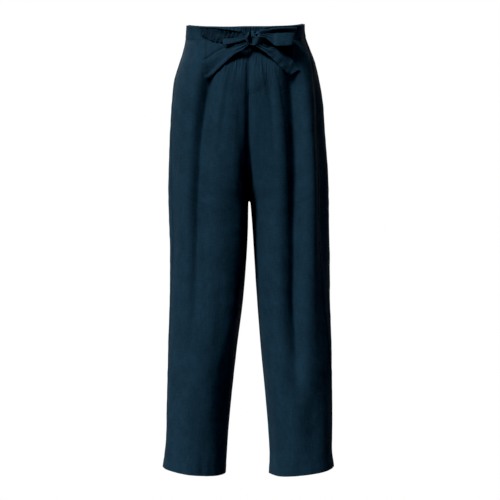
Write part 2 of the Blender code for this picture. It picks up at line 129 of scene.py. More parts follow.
# One row for each fold: where it starts and ends in turn and level, its half widths towards the centre
# seam and towards the outseam, its depth (negative for a ridge), and how far it fades at each end
FOLD_COLUMNS = (
    "side", "turn_top", "turn_foot", "top", "foot", "centreward", "outward", "depth",
    "fade_top", "fade_foot")
FOLDS = (
    ("left", 0.150, 0.145, -0.660, -1.050, 0.020, 0.034, -0.0075, 0.35, 0.05),
    ("right", 0.075, 0.085, -0.200, -0.540, 0.014, 0.022, -0.0050, 0.35, 0.45),
    ("right", 0.275, 0.275, -0.780, -1.050, 0.020, 0.022, -0.0030, 0.35, 0.05),
    ("right", 0.290, 0.298, -0.035, -0.780, 0.036, 0.0105, 0.0190, 0.16, 0.65),
    ("right", 0.105, 0.125, -0.120, -0.900, 0.020, 0.032, -0.0065, 0.35, 0.40),
    ("right", 0.280, 0.286, -0.050, -0.280, 0.006, 0.016, 0.0060, 0.15, 0.60),
    ("right", 0.165, 0.185, -0.050, -0.300, 0.012, 0.012, 0.0025, 0.30, 0.60),
    ("right", 0.205, 0.240, -0.060, -0.420, 0.030, 0.022, -0.0040, 0.25, 0.60),
    ("right", 0.400, 0.425, -0.180, -0.640, 0.018, 0.020, 0.0050, 0.40, 0.50),
    ("right", 0.110, 0.140, -0.640, -0.940, 0.022, 0.020, 0.0035, 0.40, 0.40),
    ("left", 0.330, 0.236, -0.035, -0.860, 0.021, 0.0155, 0.0250, 0.12, 0.30),
    ("left", 0.170, 0.160, -0.050, -0.330, 0.014, 0.012, 0.0030, 0.30, 0.60),
    ("left", 0.440, 0.400, -0.060, -0.600, 0.012, 0.024, 0.0130, 0.18, 0.45),
    ("left", 0.345, 0.325, -0.080, -0.760, 0.018, 0.014, -0.0085, 0.30, 0.50),
    ("left", 0.330, 0.300, -0.760, -0.950, 0.022, 0.022, 0.0035, 0.40, 0.30),
    ("right", 0.715, 0.690, -0.030, -0.560, 0.020, 0.012, 0.0150, 0.12, 0.50),
    ("right", 0.830, 0.790, -0.310, -0.640, 0.022, 0.014, 0.0105, 0.35, 0.50),
    ("right", 0.615, 0.600, -0.090, -0.800, 0.014, 0.020, 0.0115, 0.25, 0.50),
    ("right", 0.765, 0.745, -0.560, -0.930, 0.018, 0.020, 0.0080, 0.35, 0.35),
    ("left", 0.728, 0.700, -0.030, -0.640, 0.018, 0.012, 0.0160, 0.12, 0.50),
    ("left", 0.845, 0.800, -0.320, -0.600, 0.020, 0.015, 0.0100, 0.35, 0.50),
    ("left", 0.600, 0.585, -0.140, -0.760, 0.015, 0.022, 0.0110, 0.30, 0.50),
    ("left", 0.760, 0.720, -0.620, -0.940, 0.020, 0.018, 0.0080, 0.35, 0.30),
)

# A fold swings from its top to its foot by this power of the way along it
FOLD_SWING = 0.6

# The same columns for the finer creases, which only the shells have
CREASES = (
    ("right", 0.352, 0.340, -0.055, -0.175, 0.006, 0.009, 0.0010, 0.30, 0.60),
    ("right", 0.238, 0.262, -0.032, -0.120, 0.004, 0.006, 0.0011, 0.10, 0.70),
    ("right", 0.196, 0.214, -0.032, -0.150, 0.005, 0.006, 0.0010, 0.10, 0.70),
    ("right", 0.140, 0.150, -0.032, -0.105, 0.004, 0.005, 0.0009, 0.10, 0.70),
    ("right", 0.108, 0.112, -0.032, -0.140, 0.005, 0.004, 0.0008, 0.10, 0.70),
    ("right", 0.330, 0.352, -0.330, -0.560, 0.010, 0.008, 0.0012, 0.50, 0.50),
    ("right", 0.262, 0.240, -0.430, -0.700, 0.009, 0.012, 0.0014, 0.50, 0.50),
    ("right", 0.190, 0.176, -0.480, -0.780, 0.012, 0.010, 0.0013, 0.50, 0.50),
    ("right", 0.060, 0.120, -0.385, -0.470, 0.008, 0.010, 0.0012, 0.20, 0.70),
    ("right", 0.380, 0.362, -0.700, -0.900, 0.012, 0.010, 0.0012, 0.50, 0.50),
    ("right", 0.250, 0.270, -0.800, -0.955, 0.010, 0.012, 0.0010, 0.50, 0.30),
    ("left", 0.226, 0.214, -0.032, -0.120, 0.005, 0.004, 0.0012, 0.10, 0.70),
    ("left", 0.196, 0.190, -0.032, -0.165, 0.005, 0.005, 0.0010, 0.10, 0.70),
    ("left", 0.140, 0.138, -0.050, -0.120, 0.004, 0.005, 0.0008, 0.30, 0.70),
    ("left", 0.346, 0.338, -0.050, -0.200, 0.008, 0.006, 0.0013, 0.20, 0.60),
    ("left", 0.384, 0.366, -0.160, -0.420, 0.008, 0.010, 0.0012, 0.40, 0.50),
    ("left", 0.262, 0.250, -0.300, -0.520, 0.008, 0.010, 0.0012, 0.50, 0.50),
    ("left", 0.140, 0.120, -0.420, -0.680, 0.011, 0.009, 0.0013, 0.50, 0.50),
    ("left", 0.080, 0.130, -0.390, -0.480, 0.010, 0.012, 0.0006, 0.30, 0.70),
    ("left", 0.205, 0.190, -0.720, -0.930, 0.012, 0.010, 0.0012, 0.50, 0.30),
    ("left", 0.400, 0.410, -0.640, -0.860, 0.010, 0.012, 0.0012, 0.50, 0.50),
    ("right", 0.560, 0.548, -0.032, -0.170, 0.006, 0.008, 0.0012, 0.10, 0.70),
    ("right", 0.662, 0.650, -0.032, -0.140, 0.005, 0.007, 0.0013, 0.10, 0.70),
    ("right", 0.768, 0.760, -0.032, -0.190, 0.007, 0.005, 0.0013, 0.10, 0.70),
    ("right", 0.880, 0.868, -0.060, -0.240, 0.008, 0.006, 0.0012, 0.30, 0.60),
    ("right", 0.655, 0.640, -0.420, -0.640, 0.010, 0.008, 0.0014, 0.50, 0.50),
    ("right", 0.905, 0.850, -0.395, -0.500, 0.009, 0.011, 0.0015, 0.20, 0.70),
    ("right", 0.850, 0.835, -0.640, -0.860, 0.011, 0.009, 0.0013, 0.50, 0.40),
    ("left", 0.550, 0.538, -0.032, -0.150, 0.007, 0.006, 0.0012, 0.10, 0.70),
    ("left", 0.655, 0.640, -0.032, -0.180, 0.006, 0.008, 0.0013, 0.10, 0.70),
    ("left", 0.780, 0.774, -0.032, -0.130, 0.005, 0.007, 0.0012, 0.10, 0.70),
    ("left", 0.885, 0.872, -0.070, -0.220, 0.007, 0.008, 0.0011, 0.30, 0.60),
    ("left", 0.660, 0.646, -0.450, -0.700, 0.009, 0.010, 0.0014, 0.50, 0.50),
    ("left", 0.912, 0.856, -0.395, -0.490, 0.010, 0.009, 0.0014, 0.20, 0.70),
    ("left", 0.860, 0.840, -0.600, -0.820, 0.009, 0.011, 0.0012, 0.50, 0.40),
)

# The tie, a row for each place along it: x and z of its upper and lower edge and how far it stands off
# the cloth. A loop runs out on its front layer and comes back on the layer behind it.
STRIP_COLUMNS = ("x_upper", "z_upper", "x_lower", "z_lower", "stand")
TIE_STRIPS = {
    "tie_strap_right": (
        (-0.1010, -0.0040, -0.1010, -0.0205, 0.0016),
        (-0.0940, -0.0038, -0.0935, -0.0250, 0.0020),
        (-0.0720, -0.0060, -0.0720, -0.0330, 0.0022),
        (-0.0430, -0.0095, -0.0430, -0.0350, 0.0023),
        (-0.0180, -0.0140, -0.0170, -0.0345, 0.0028),
        (0.0098, -0.0195, 0.0098, -0.0330, 0.0036)),
    "tie_strap_left": (
        (0.0105, -0.0190, 0.0105, -0.0300, 0.0038),
        (0.0250, -0.0080, 0.0250, -0.0225, 0.0038),
        (0.0500, -0.0034, 0.0500, -0.0165, 0.0036),
        (0.0760, -0.0008, 0.0760, -0.0150, 0.0032),
        (0.0930, 0.0000, 0.0930, -0.0145, 0.0026),
        (0.0990, -0.0002, 0.0990, -0.0140, 0.0022)),
    "tie_loop_right": (
        (-0.0083, -0.0235, -0.0083, -0.0330, 0.0120),
        (-0.0180, -0.0262, -0.0180, -0.0360, 0.0122),
        (-0.0360, -0.0288, -0.0360, -0.0400, 0.0118),
        (-0.0500, -0.0300, -0.0495, -0.0424, 0.0106),
        (-0.0540, -0.0302, -0.0535, -0.0426, 0.0084),
        (-0.0500, -0.0298, -0.0495, -0.0420, 0.0064),
        (-0.0360, -0.0285, -0.0360, -0.0395, 0.0060),
        (-0.0190, -0.0260, -0.0190, -0.0355, 0.0070),
        (-0.0083, -0.0235, -0.0083, -0.0325, 0.0090)),
    "tie_loop_left": (
        (0.0280, -0.0185, 0.0280, -0.0290, 0.0170),
        (0.0345, -0.0185, 0.0345, -0.0300, 0.0165),
        (0.0430, -0.0188, 0.0445, -0.0372, 0.0142),
        (0.0500, -0.0192, 0.0515, -0.0436, 0.0132),
        (0.0536, -0.0194, 0.0556, -0.0466, 0.0176),
        (0.0585, -0.0195, 0.0595, -0.0472, 0.0190),
        (0.0715, -0.0196, 0.0705, -0.0474, 0.0202),
        (0.0842, -0.0196, 0.0806, -0.0474, 0.0206),
        (0.0870, -0.0196, 0.0834, -0.0470, 0.0156),
        (0.0832, -0.0195, 0.0796, -0.0460, 0.0104),
        (0.0700, -0.0190, 0.0700, -0.0440, 0.0076),
        (0.0520, -0.0186, 0.0520, -0.0400, 0.0072),
        (0.0380, -0.0184, 0.0380, -0.0340, 0.0082),
        (0.0280, -0.0185, 0.0280, -0.0290, 0.0098)),
    "tie_tail_right": (
        (-0.0066, -0.0370, -0.0006, -0.0420, 0.0112),
        (-0.0220, -0.0410, -0.0130, -0.0520, 0.0096),
        (-0.0400, -0.0440, -0.0300, -0.0610, 0.0080),
        (-0.0570, -0.0480, -0.0450, -0.0725, 0.0070),
        (-0.0740, -0.0570, -0.0620, -0.0870, 0.0066),
        (-0.0890, -0.0680, -0.0800, -0.1010, 0.0064),
        (-0.1015, -0.0755, -0.0966, -0.1130, 0.0062)),
    "tie_tail_left": (
        (0.0278, -0.0385, 0.0140, -0.0448, 0.0112),
        (0.0400, -0.0450, 0.0280, -0.0540, 0.0098),
        (0.0560, -0.0470, 0.0420, -0.0640, 0.0085),
        (0.0720, -0.0540, 0.0560, -0.0760, 0.0075),
        (0.0870, -0.0650, 0.0700, -0.0890, 0.0070),
        (0.1000, -0.0780, 0.0820, -0.0985, 0.0068),
        (0.1090, -0.0900, 0.0890, -0.1040, 0.0066)),
}

# Detail of the shells: rows and columns of their grids
PANEL_ROWS = 240
FRONT_COLUMNS = 190
BACK_COLUMNS = 90
BAND_ROWS = 34
BAND_COLUMNS = 420
FLY_ROWS = 90
FLY_COLUMNS = 40
STRIP_ROWS = {"tie_loop_right": 150, "tie_loop_left": 190, "tie_strap_right": 250}
STRIP_ROWS_PLAIN = 130
STRIP_COLUMNS_ACROSS = 26
KNOT_ROWS = 90
KNOT_COLUMNS = 120
SHARP_EDGE = 62.0           # degrees between two faces past which their edge is sharp
EDGE_CROWDING = 0.35        # share by which columns crowd towards a panel's two edges

# The valley along the centre seam, where the cloth draws in between the legs
FRONT_VALLEY = 0.0060
BACK_VALLEY = 0.0045
VALLEY_WIDTH = 0.012

# How far up and down the bend at the fork is spread, and how far from the centre seam it is so in full
FORK_SPREAD = 0.026
FORK_CALM = 0.040

# How far the top of the band rounds off at each hip and over how much turn, and how far it leans out at
# the front
BAND_CORNER = 0.0028
CORNER_TURN = 0.022
BAND_FLARE = 0.0048
BAND_ROUNDING = 0.06        # share of the band's height over which its top fold rounds off

# The unevenness of worn cloth, a row for each kind of wave: its height, what it adds to the seed, and the
# size of its cells round the body and down it. First the long waves down the leg, then the short ones,
# then those that run across.
WAVES = (
    (0.00110, 0, 0.034, 0.150),
    (0.00045, 10, 0.011, 0.060),
    (0.00035, 20, 0.060, 0.014),
)
WAVE_SEEDS = {"right": 11, "left": 12}

# Seams, a depth or height and a width for each: the groove of the outseam and that of the centre seam and
# inseam, the allowance pressed under the back panel, and the sunk row of stitches at the top of the
# turned hem
OUTSEAM_GROOVE = (0.00110, 0.0011)
CENTRE_GROOVE = (0.00080, 0.0014)
ALLOWANCE = (0.00060, 0.0125)
HEM_ROW = (0.00035, 0.0011)
HEM_STEP = 0.00040
HEM_MARGIN = 0.0022         # how far below the top of the turned hem its row of stitches lies
PUCKER_PITCH = 0.0135

# The photograph prints its deep shadows black: this much of each colour is taken off
SHADOW_BLACK = (0.0020, 0.0036, 0.0052)

# Half of the floor's side, then the camera's place, the angle it looks down at and its width in
# millimetres
FLOOR_HALF = 8.0
CAMERA_PLACE = (0.0022, -3.5, -0.25)
CAMERA_DIP = 3.81
CAMERA_SENSOR = 36.0

# How much lighter and darker than its colour the cloth and the thread grow
CLOTH_GRAIN = 0.32
THREAD_GRAIN = 0.3


# Settings that a user would change

class SamueClothSettings(bpy.types.PropertyGroup):
    """The trousers' cloth."""
    indigo: FloatVectorProperty(
        name="Indigo", description="Colour of the cloth", subtype="COLOR", size=3,
        min=0.0, max=1.0, default=(0.0086, 0.0300, 0.0520))
    tie_indigo: FloatVectorProperty(
        name="Tie", description="Colour of the tie", subtype="COLOR", size=3,
        min=0.0, max=1.0, default=(0.0090, 0.0310, 0.0535))
    # The right strap's colour is darkened by this share as painted shade, for the shadow that falls in its
    # crumples under the band's roll
    strap_painted_shade: FloatProperty(
        name="Strap shade", description="Tone of the crumpled right strap beside the rest of the tie",
        min=0.1, max=1.0, default=0.62)
    thread: FloatVectorProperty(
        name="Thread", description="Colour of the sewing thread", subtype="COLOR", size=3,
        min=0.0, max=1.0, default=(0.0110, 0.0320, 0.0570))
    wall: FloatProperty(
        name="Cloth thickness", description="Thickness of the leg cloth", subtype="DISTANCE", unit="LENGTH",
        min=0.0006, max=0.003, precision=4, default=0.0013)
    band_wall: FloatProperty(
        name="Band thickness", description="Thickness of the folded waistband", subtype="DISTANCE",
        unit="LENGTH", min=0.001, max=0.005, precision=4, default=0.0028)
    tie_wall: FloatProperty(
        name="Tie thickness", description="Thickness of the pressed tie", subtype="DISTANCE", unit="LENGTH",
        min=0.001, max=0.003, precision=4, default=0.0018)
    thread_pitch: FloatProperty(
        name="Thread pitch", description="Distance between the threads of the weave", subtype="DISTANCE",
        unit="LENGTH", min=0.0002, max=0.002, precision=5, default=0.00062)


class SamueSewingSettings(bpy.types.PropertyGroup):
    """The stitches."""
    stitch: FloatProperty(
        name="Stitch", description="Distance from stitch to stitch", subtype="DISTANCE", unit="LENGTH",
        min=0.001, max=0.006, precision=4, default=0.0028)
    thread_width: FloatProperty(
        name="Thread width", description="Width of the sewing thread", subtype="DISTANCE", unit="LENGTH",
        min=0.0002, max=0.001, precision=5, default=0.00042)
    hem_depth: FloatProperty(
        name="Hem depth", description="Height of the turned hem", subtype="DISTANCE", unit="LENGTH",
        min=0.01, max=0.05, precision=3, default=0.020)


class SamueStageSettings(bpy.types.PropertyGroup):
    """The floor, the lights and the camera."""
    floor_drop: FloatProperty(
        name="Floor drop", description="How far the floor lies below the hems", subtype="DISTANCE",
        unit="LENGTH", min=0.0, max=1.0, default=0.085)
    key_strength: FloatProperty(
        name="Key light", description="Strength of the far soft light, in watts on a square metre",
        min=0.0, default=3.75)
    back_power: FloatProperty(
        name="Back light", description="Power of the light behind", subtype="POWER", unit="POWER",
        min=0.0, default=95.0)
    fill: FloatProperty(
        name="Fill", description="Strength of the surrounding light", min=0.0, default=0.12)
    lens: FloatProperty(
        name="Lens", description="Focal length of the camera, in millimetres", subtype="DISTANCE_CAMERA",
        min=20.0, max=300.0, default=114.5)


def cloth_settings():
    """The cloth's settings in this scene."""
    return bpy.context.scene.samue_cloth


# The form of the trousers

def smoothstep(value):
    """Rises from 0 to 1 with level ends: 3 v squared less 2 v cubed."""
    clipped = np.clip(value, 0.0, 1.0)
    return clipped * clipped * (3.0 - 2.0 * clipped)


def through(knots, values, places):
    """Cubic Hermite curve through a table's values, with the slope at a knot that of its neighbours."""
    slopes = np.gradient(values, knots)
    index = np.clip(np.searchsorted(knots, places) - 1, 0, len(knots) - 2)
    step = knots[index + 1] - knots[index]
    share = np.clip((places - knots[index]) / step, 0.0, 1.0)
    square = share * share
    cube = square * share
    start = (2.0 * cube - 3.0 * square + 1.0) * values[index]
    end = (3.0 * square - 2.0 * cube) * values[index + 1]
    leave = (cube - 2.0 * square + share) * step * slopes[index]
    arrive = (cube - square) * step * slopes[index + 1]
    return start + leave + end + arrive


def section(name, height):
    """One named column of the section table at the given heights."""
    column = SECTION_COLUMNS.index(name)
    heights = np.array([row[0] for row in SECTIONS])[::-1]
    values = np.array([row[column] for row in SECTIONS])[::-1]
    return through(heights, values, np.asarray(height, dtype=float))


def height_of(side, turn, level):
    """The height of a level: it dips across the front of the waist and tilts with the leg at the hem."""
    round_body = 1.0 - np.abs(2.0 * turn - 1.0)
    front = np.where(turn < 0.5, 1.0 - round_body ** 4, 0.0)
    waist = smoothstep((level - BAND_FOOT + DIP_FADE) / DIP_FADE)
    dip = (WAIST_DIP * front + HIP_DROP[side] * round_body ** 2) * waist
    low = smoothstep((HEM + TILT_FADE - level) / TILT_FADE)
    return level - dip + HEM_TILT * np.cos(math.pi * (1.0 - round_body)) * low


def fork_share(is_front, height):
    """How far the fork between the legs is closed: from almost 0 at the waist to 1 from the crotch down."""
    share = np.where(is_front, section("fork_front", height), section("fork_back", height))
    return np.where(height < CROTCH, 1.0, np.clip(share, 0.01, 1.0))


def form(side, turn, height):
    """The smooth form without folds, for x counted away from the centre: each quarter of a section is a
    quarter ellipse from the hip to the ridge of the leg, and from the ridge inwards an ellipse cut off at
    the centre plane above the crotch."""
    outside = section("out_" + side, height)
    inside = np.where(height < CROTCH, section("in_" + side, height), 0.0)
    ridge = section("ridge", height)
    is_front = turn < 0.5
    depth = np.where(is_front, -section("front", height), section("back", height))
    last = np.arcsin(fork_share(is_front, height))
    away = np.abs(2.0 * turn - 1.0)
    outer_angle = math.pi * away
    inner_angle = (2.0 * away - 1.0) * last
    is_outer = away < 0.5
    reach = (ridge - inside) / np.sin(last)
    outer_x = ridge + (outside - ridge) * np.cos(outer_angle)
    x = np.where(is_outer, outer_x, ridge - reach * np.sin(inner_angle))
    y = np.where(is_outer, depth * np.sin(outer_angle), depth * np.cos(inner_angle))
    return np.stack([x, y, height + 0.0 * x], axis=-1)


def soft_form(side, turn, height):
    """The smooth form with the bend at the level of the fork spread out: the mean of five sections round
    it, taken more the farther a point lies from the centre seam."""
    base = form(side, turn, height)
    spread = sum(form(side, turn, height + step * FORK_SPREAD) for step in (-1.0, -0.5, 0.0, 0.5, 1.0)) / 5.0
    from_centre = (0.5 - np.abs(turn - 0.5)) * RING_LENGTH
    weight = smoothstep(from_centre / FORK_CALM) * bell(height - CROTCH, 1.6 * FORK_SPREAD)
    soft = base + (spread - base) * weight[..., None]
    soft[..., 2] = base[..., 2]
    return soft


def outward(side, turn, height):
    """The unit normal of the smooth form, from small steps round it and down it."""
    before = np.clip(turn - NORMAL_STEP, 0.0, 1.0)
    after = np.clip(turn + NORMAL_STEP, 0.0, 1.0)
    around = form(side, after, height) - form(side, before, height)
    down = form(side, turn, height - NORMAL_STEP) - form(side, turn, height + NORMAL_STEP)
    normal = np.cross(down, around)
    return normal / np.linalg.norm(normal, axis=-1, keepdims=True)


def fold_depth(side, turn, level, table):
    """Sum of a table's folds: each is a soft trough, a bell curve across with unlike half widths, which
    fades along at both ends."""
    moved = np.zeros(np.broadcast(turn, level).shape)
    for row in table:
        fold = dict(zip(FOLD_COLUMNS, row))
        if fold["side"] != side:
            continue
        along = np.clip((fold["top"] - level) / (fold["top"] - fold["foot"]), 0.0, 1.0)
        place = fold["turn_top"] + (fold["turn_foot"] - fold["turn_top"]) * along ** FOLD_SWING
        across = (turn - place) * RING_LENGTH
        to_centre = across < 0.0 if fold["turn_top"] < 0.5 else across > 0.0
        width = np.where(to_centre, fold["centreward"], fold["outward"])
        fade = smoothstep(along / fold["fade_top"]) * smoothstep((1.0 - along) / fold["fade_foot"])
        moved -= fold["depth"] * fade * np.exp(-(across / width) ** 2)
    from_seam = 0.5 - np.abs(turn - 0.5)
    return moved * smoothstep(from_seam / SEAM_CALM)


def uneven(seed, across, along, cell_across, cell_along):
    """Smooth unevenness from -1 to 1: seeded heights on a lattice, joined by smoothsteps both ways."""
    size = 64
    heights = np.random.default_rng(seed).uniform(-1.0, 1.0, (size, size))
    column = across / cell_across
    row = along / cell_along
    left = np.floor(column).astype(int)
    low = np.floor(row).astype(int)
    share = smoothstep(column - left)
    rise = smoothstep(row - low)

    def corner(right, up):
        return heights[(left + right) % size, (low + up) % size]

    lower = corner(0, 0) * (1.0 - share) + corner(1, 0) * share
    upper = corner(0, 1) * (1.0 - share) + corner(1, 1) * share
    return lower * (1.0 - rise) + upper * rise


def bell(distance, width):
    """A bell curve of height 1."""
    return np.exp(-(distance / width) ** 2)


def slack(side, turn, level):
    """The small unevenness of worn cloth: long shallow waves down the leg and short ones across it."""
    ring = turn * RING_LENGTH
    waves = sum(size * uneven(WAVE_SEEDS[side] + seed, ring, level, cell_across, cell_along)
                for size, seed, cell_across, cell_along in WAVES)
    from_seam = 0.5 - np.abs(turn - 0.5)
    return waves * smoothstep(from_seam / SEAM_CALM)


def seam_relief(side, turn, level):
    """Grooves and pressed allowances: a narrow groove along the outseam, centre seam and inseam with a
    low ridge beside it on the back panel, the valley at the centre seam, a step at the top of the turned
    hem and the sunk row of stitches on it."""
    place = section("seam_" + side, level)
    from_outseam = (turn - place) * RING_LENGTH
    drawn = np.sin(level * 2.0 * math.pi / PUCKER_PITCH) * uneven(31, level, level, 0.02, 0.02)
    pucker = 1.0 + 0.35 * drawn
    depth, width = OUTSEAM_GROOVE
    groove = -depth * bell(from_outseam, width) * pucker
    height, width = ALLOWANCE
    allowance = height * smoothstep((width - from_outseam) / 0.0015) * smoothstep(from_outseam / 0.0012)
    from_centre = (0.5 - np.abs(turn - 0.5)) * RING_LENGTH
    depth, width = CENTRE_GROOVE
    centre = -depth * bell(from_centre, width)
    shown = smoothstep((-0.020 - level) / 0.070) * smoothstep((level - CROTCH) / 0.060)
    valley = np.where(turn < 0.5, FRONT_VALLEY, BACK_VALLEY) * shown * bell(from_centre, VALLEY_WIDTH)
    below_hem_top = HEM + bpy.context.scene.samue_sewing.hem_depth - level
    hem = HEM_STEP * smoothstep(below_hem_top / 0.0016)
    depth, width = HEM_ROW
    stitched = -depth * bell(below_hem_top - HEM_MARGIN, width)
    return groove + allowance + centre + hem + stitched - valley


# The tie gathers the cloth of the front: the pitch and height of its fine upright ripples, how much more
# they stand just under the tie, and the height of the leaning pleats there and the share of its pitch
# over which a pleat rises
GATHER_PITCH = 0.0064
GATHER_HEIGHT = 0.0006
GATHER_GROWTH = 0.45
PLEAT_HEIGHT = 0.0020
PLEAT_RISE = 0.35

# How far from the centre the gathers reach, where they end below the tie and how far above that they fade
GATHER_REACH = {"right": 0.0925, "left": 0.0880}
GATHER_FOOT = {"right": -0.110, "left": -0.132}
GATHER_FADE = 0.062

# The tuck at each end of the gathers: distance from the centre, foot and height
TUCKS = {"right": (0.0925, -0.125, 0.0030), "left": (0.0905, -0.120, 0.0026)}
TUCK_TOP = -0.060
TUCK_SLOPE = 0.022

# How far the tie draws the front in, and how far a free end of it presses into the cloth below
CINCH = 0.0050
PRESS = 0.0028

# The slanted pleats of the right strap: height, pitch and share of the rise, then the crumple on them
STRAP_PLEAT = 0.0024
STRAP_PITCH = 0.0078
STRAP_RISE = 0.18
STRAP_CRUMPLE = 0.0014

# The cloth of the band rolls over the strap: how high it stands, how far up it reaches, how sharply it
# drops at the strap's upper edge, where along the front it is and how far its ends fade
ROLL_HEIGHT = {"right": 0.0080, "left": 0.0062}
ROLL_REACH = 0.0048
ROLL_DROP = 0.0014
ROLL_SPAN = {"right": (-0.0990, -0.0120), "left": (0.0260, 0.0980)}
ROLL_FADE = 0.010

# The slits that the tie comes out of: x, top and foot of each, how deep its mouth is, how deep its gape
# is, and how far the gape lies from it
SLITS = {"right": (-0.0990, -0.0048, -0.0215), "left": (0.0996, -0.0004, -0.0148)}
SLIT_DEPTH = 0.0022
GAPE_DEPTH = {"right": 0.0042, "left": 0.0012}
GAPE_OFF = -0.0008


def strap_roll(side, x, height):
    """The roll above the strap, a bell over the strap's upper edge cut off sharply below it. It grows
    from 0.45 of its height at the slit to all of it at the knot."""
    table = np.array(TIE_STRIPS["tie_strap_" + side])
    edge = np.interp(x, table[:, 0], table[:, 1])
    start, end = ROLL_SPAN[side]
    fade = smoothstep((x - start) / ROLL_FADE) * smoothstep((end - x) / ROLL_FADE)
    grow = 0.45 + 0.55 * (1.0 - np.clip((np.abs(x) - 0.015) / 0.070, 0.0, 1.0))
    over = height - edge
    shape = bell(np.maximum(over - ROLL_DROP, 0.0), ROLL_REACH) * smoothstep((over + 0.0004) / ROLL_DROP)
    return ROLL_HEIGHT[side] * fade * grow * shape


def ripples(x, z):
    """Fine upright ripples with deeper valleys than crests: a cosine across whose phase and height
    wander."""
    phase = 2.0 * math.pi * x / GATHER_PITCH + 3.8 * uneven(71, x, z, 0.013, 0.050)
    return (0.55 + 0.45 * uneven(72, x, z, 0.009, 0.034)) * np.cos(phase) - 0.35


def leaning_pleats(x, z, pitch, rise):
    """Leaning pleats: each rises over the given share of its pitch and falls evenly over the rest, and
    their places and heights wander."""
    place = x / pitch + 0.95 * uneven(74, x, z, 0.014, 0.045)
    share = place - np.floor(place)
    swell = 0.70 + 0.30 * uneven(75, x, z, 0.011, 0.026)
    return swell * (smoothstep(share / rise) * (1.0 - share) - 0.40)


def gathers(side, turn, level, away, height):
    """The ripples and pleats of the gathered front, the tucks at their ends, the roll over the strap and
    how far the tie draws the front in. A tuck drops sharply on its inner side and slopes away on its
    outer side."""
    x = away * SIDES[side]
    spread = smoothstep((GATHER_REACH[side] - away) / 0.006)
    lasting = smoothstep((height - GATHER_FOOT[side]) / GATHER_FADE)
    deeper = 1.0 + GATHER_GROWTH * smoothstep((height + 0.080) / 0.035)
    moved = GATHER_HEIGHT * deeper * spread * lasting * ripples(x, height)
    near_tie = smoothstep((height + 0.112) / 0.050)
    moved += PLEAT_HEIGHT * near_tie * spread * leaning_pleats(x, height, GATHER_PITCH, PLEAT_RISE)
    edge, foot, lift = TUCKS[side]
    fade = smoothstep((level - foot) / (TUCK_TOP - foot))
    over = away - edge
    moved += lift * fade * smoothstep((over + 0.0012) / 0.0024) * np.exp(-np.maximum(over, 0.0) / TUCK_SLOPE)
    moved += strap_roll(side, x, height)
    drawn = smoothstep((GATHER_REACH[side] - away) / 0.070) * smoothstep((height + 0.115) / 0.055)
    moved -= CINCH * drawn
    return np.where(turn < 0.5, moved, 0.0)


def flare(turn, level):
    """The top of the band leans out at the front, which is drawn in by the tie below it."""
    rise = np.clip((level - BAND_FOOT) / (BAND_TOP - BAND_FOOT), 0.0, 1.0)
    return BAND_FLARE * rise * smoothstep((0.5 - turn) / 0.08)


def slit(side, turn, x, height):
    """The slit in the band that the tie comes out of, and the pocket over its top where it gapes."""
    place, top, foot = SLITS[side]
    upright = smoothstep((top - height) / 0.0016) * smoothstep((height - foot) / 0.0016)
    mouth = SLIT_DEPTH * bell(x - place, 0.0013) * upright
    gape = GAPE_DEPTH[side] * bell(x - place - GAPE_OFF * SIDES[side], 0.0034) * bell(height - top, 0.0011)
    return np.where(turn < 0.5, -mouth - gape, 0.0)


def pressed(side, turn, x, height):
    """How far the free end of the tie presses into the cloth below it, with soft edges."""
    table = np.array(TIE_STRIPS["tie_tail_" + side])
    table = table[np.argsort(table[:, 0])]
    upper = np.interp(x, table[:, 0], table[:, 1])
    lower = np.interp(x, table[:, 2], table[:, 3])
    across = smoothstep((upper + 0.0045 - height) / 0.0045) * smoothstep((height - lower - 0.004) / 0.007)
    near, far = np.abs(table[:, 0]).min() + 0.012, np.abs(table[:, 0]).max()
    along = smoothstep((np.abs(x) - near) / 0.020) * smoothstep((far + 0.001 - np.abs(x)) / 0.006)
    return np.where(turn < 0.5, -PRESS * across * along, 0.0)


def relief(side, turn, level, away, height):
    """How far the cloth stands off the smooth form: its folds, creases, slack, seams, slits, flare,
    pressed places and gathers."""
    x = away * SIDES[side]
    moved = fold_depth(side, turn, level, FOLDS) + fold_depth(side, turn, level, CREASES)
    moved = moved + slack(side, turn, level) + seam_relief(side, turn, level)
    moved = moved + slit(side, turn, x, height) + flare(turn, level) + pressed(side, turn, x, height)
    return moved + gathers(side, turn, level, away, height)


def cloth(side, turn, level, lift):
    """Points of the cloth: the smooth form moved out along its normals by the relief and the lift."""
    turn, level = np.broadcast_arrays(np.asarray(turn, dtype=float), np.asarray(level, dtype=float))
    height = height_of(side, turn, level)
    base = soft_form(side, turn, height)
    moved = relief(side, turn, level, base[..., 0], height) + lift
    points = base + outward(side, turn, height) * moved[..., None]
    on_centre = (np.abs(turn - 0.5) > 0.4999) & (height > CROTCH)
    points[..., 0] = np.where(on_centre, 0.0, np.maximum(points[..., 0], 0.0)) * SIDES[side]
    return points


def front_turn(side, away, z):
    """The turn at which the smooth front is this far from the centre plane."""
    ridge = section("ridge", z)
    fork = fork_share(True, z)
    outside = section("out_" + side, z)
    inner = np.arcsin(np.clip((ridge - away) * fork / ridge, -1.0, 1.0)) / np.arcsin(fork)
    outer = np.arccos(np.clip((away - ridge) / (outside - ridge), -1.0, 1.0)) / math.pi
    return 0.5 - 0.5 * np.where(away < ridge, 0.5 + 0.5 * inner, outer)


def on_front(x, z, stand, folds=True):
    """Points over the given x and z that stand off the cloth with all its folds, or off the smooth front.
    The level is found from the height by putting it back into the dip four times."""
    x, z, stand = np.broadcast_arrays(x, z, stand)
    points = np.zeros(x.shape + (3,))
    for side, sign in SIDES.items():
        here = x * sign >= 0.0
        turn = front_turn(side, np.abs(x), z)
        moved = stand
        if folds:
            level = z
            for _ in range(4):
                level = level + z - height_of(side, turn, level)
            moved = relief(side, turn, level, np.abs(x), z) + stand
        off = form(side, turn, z) + outward(side, turn, z) * moved[..., None]
        off[..., 0] *= sign
        points[here] = off[here]
    return points


# Meshes

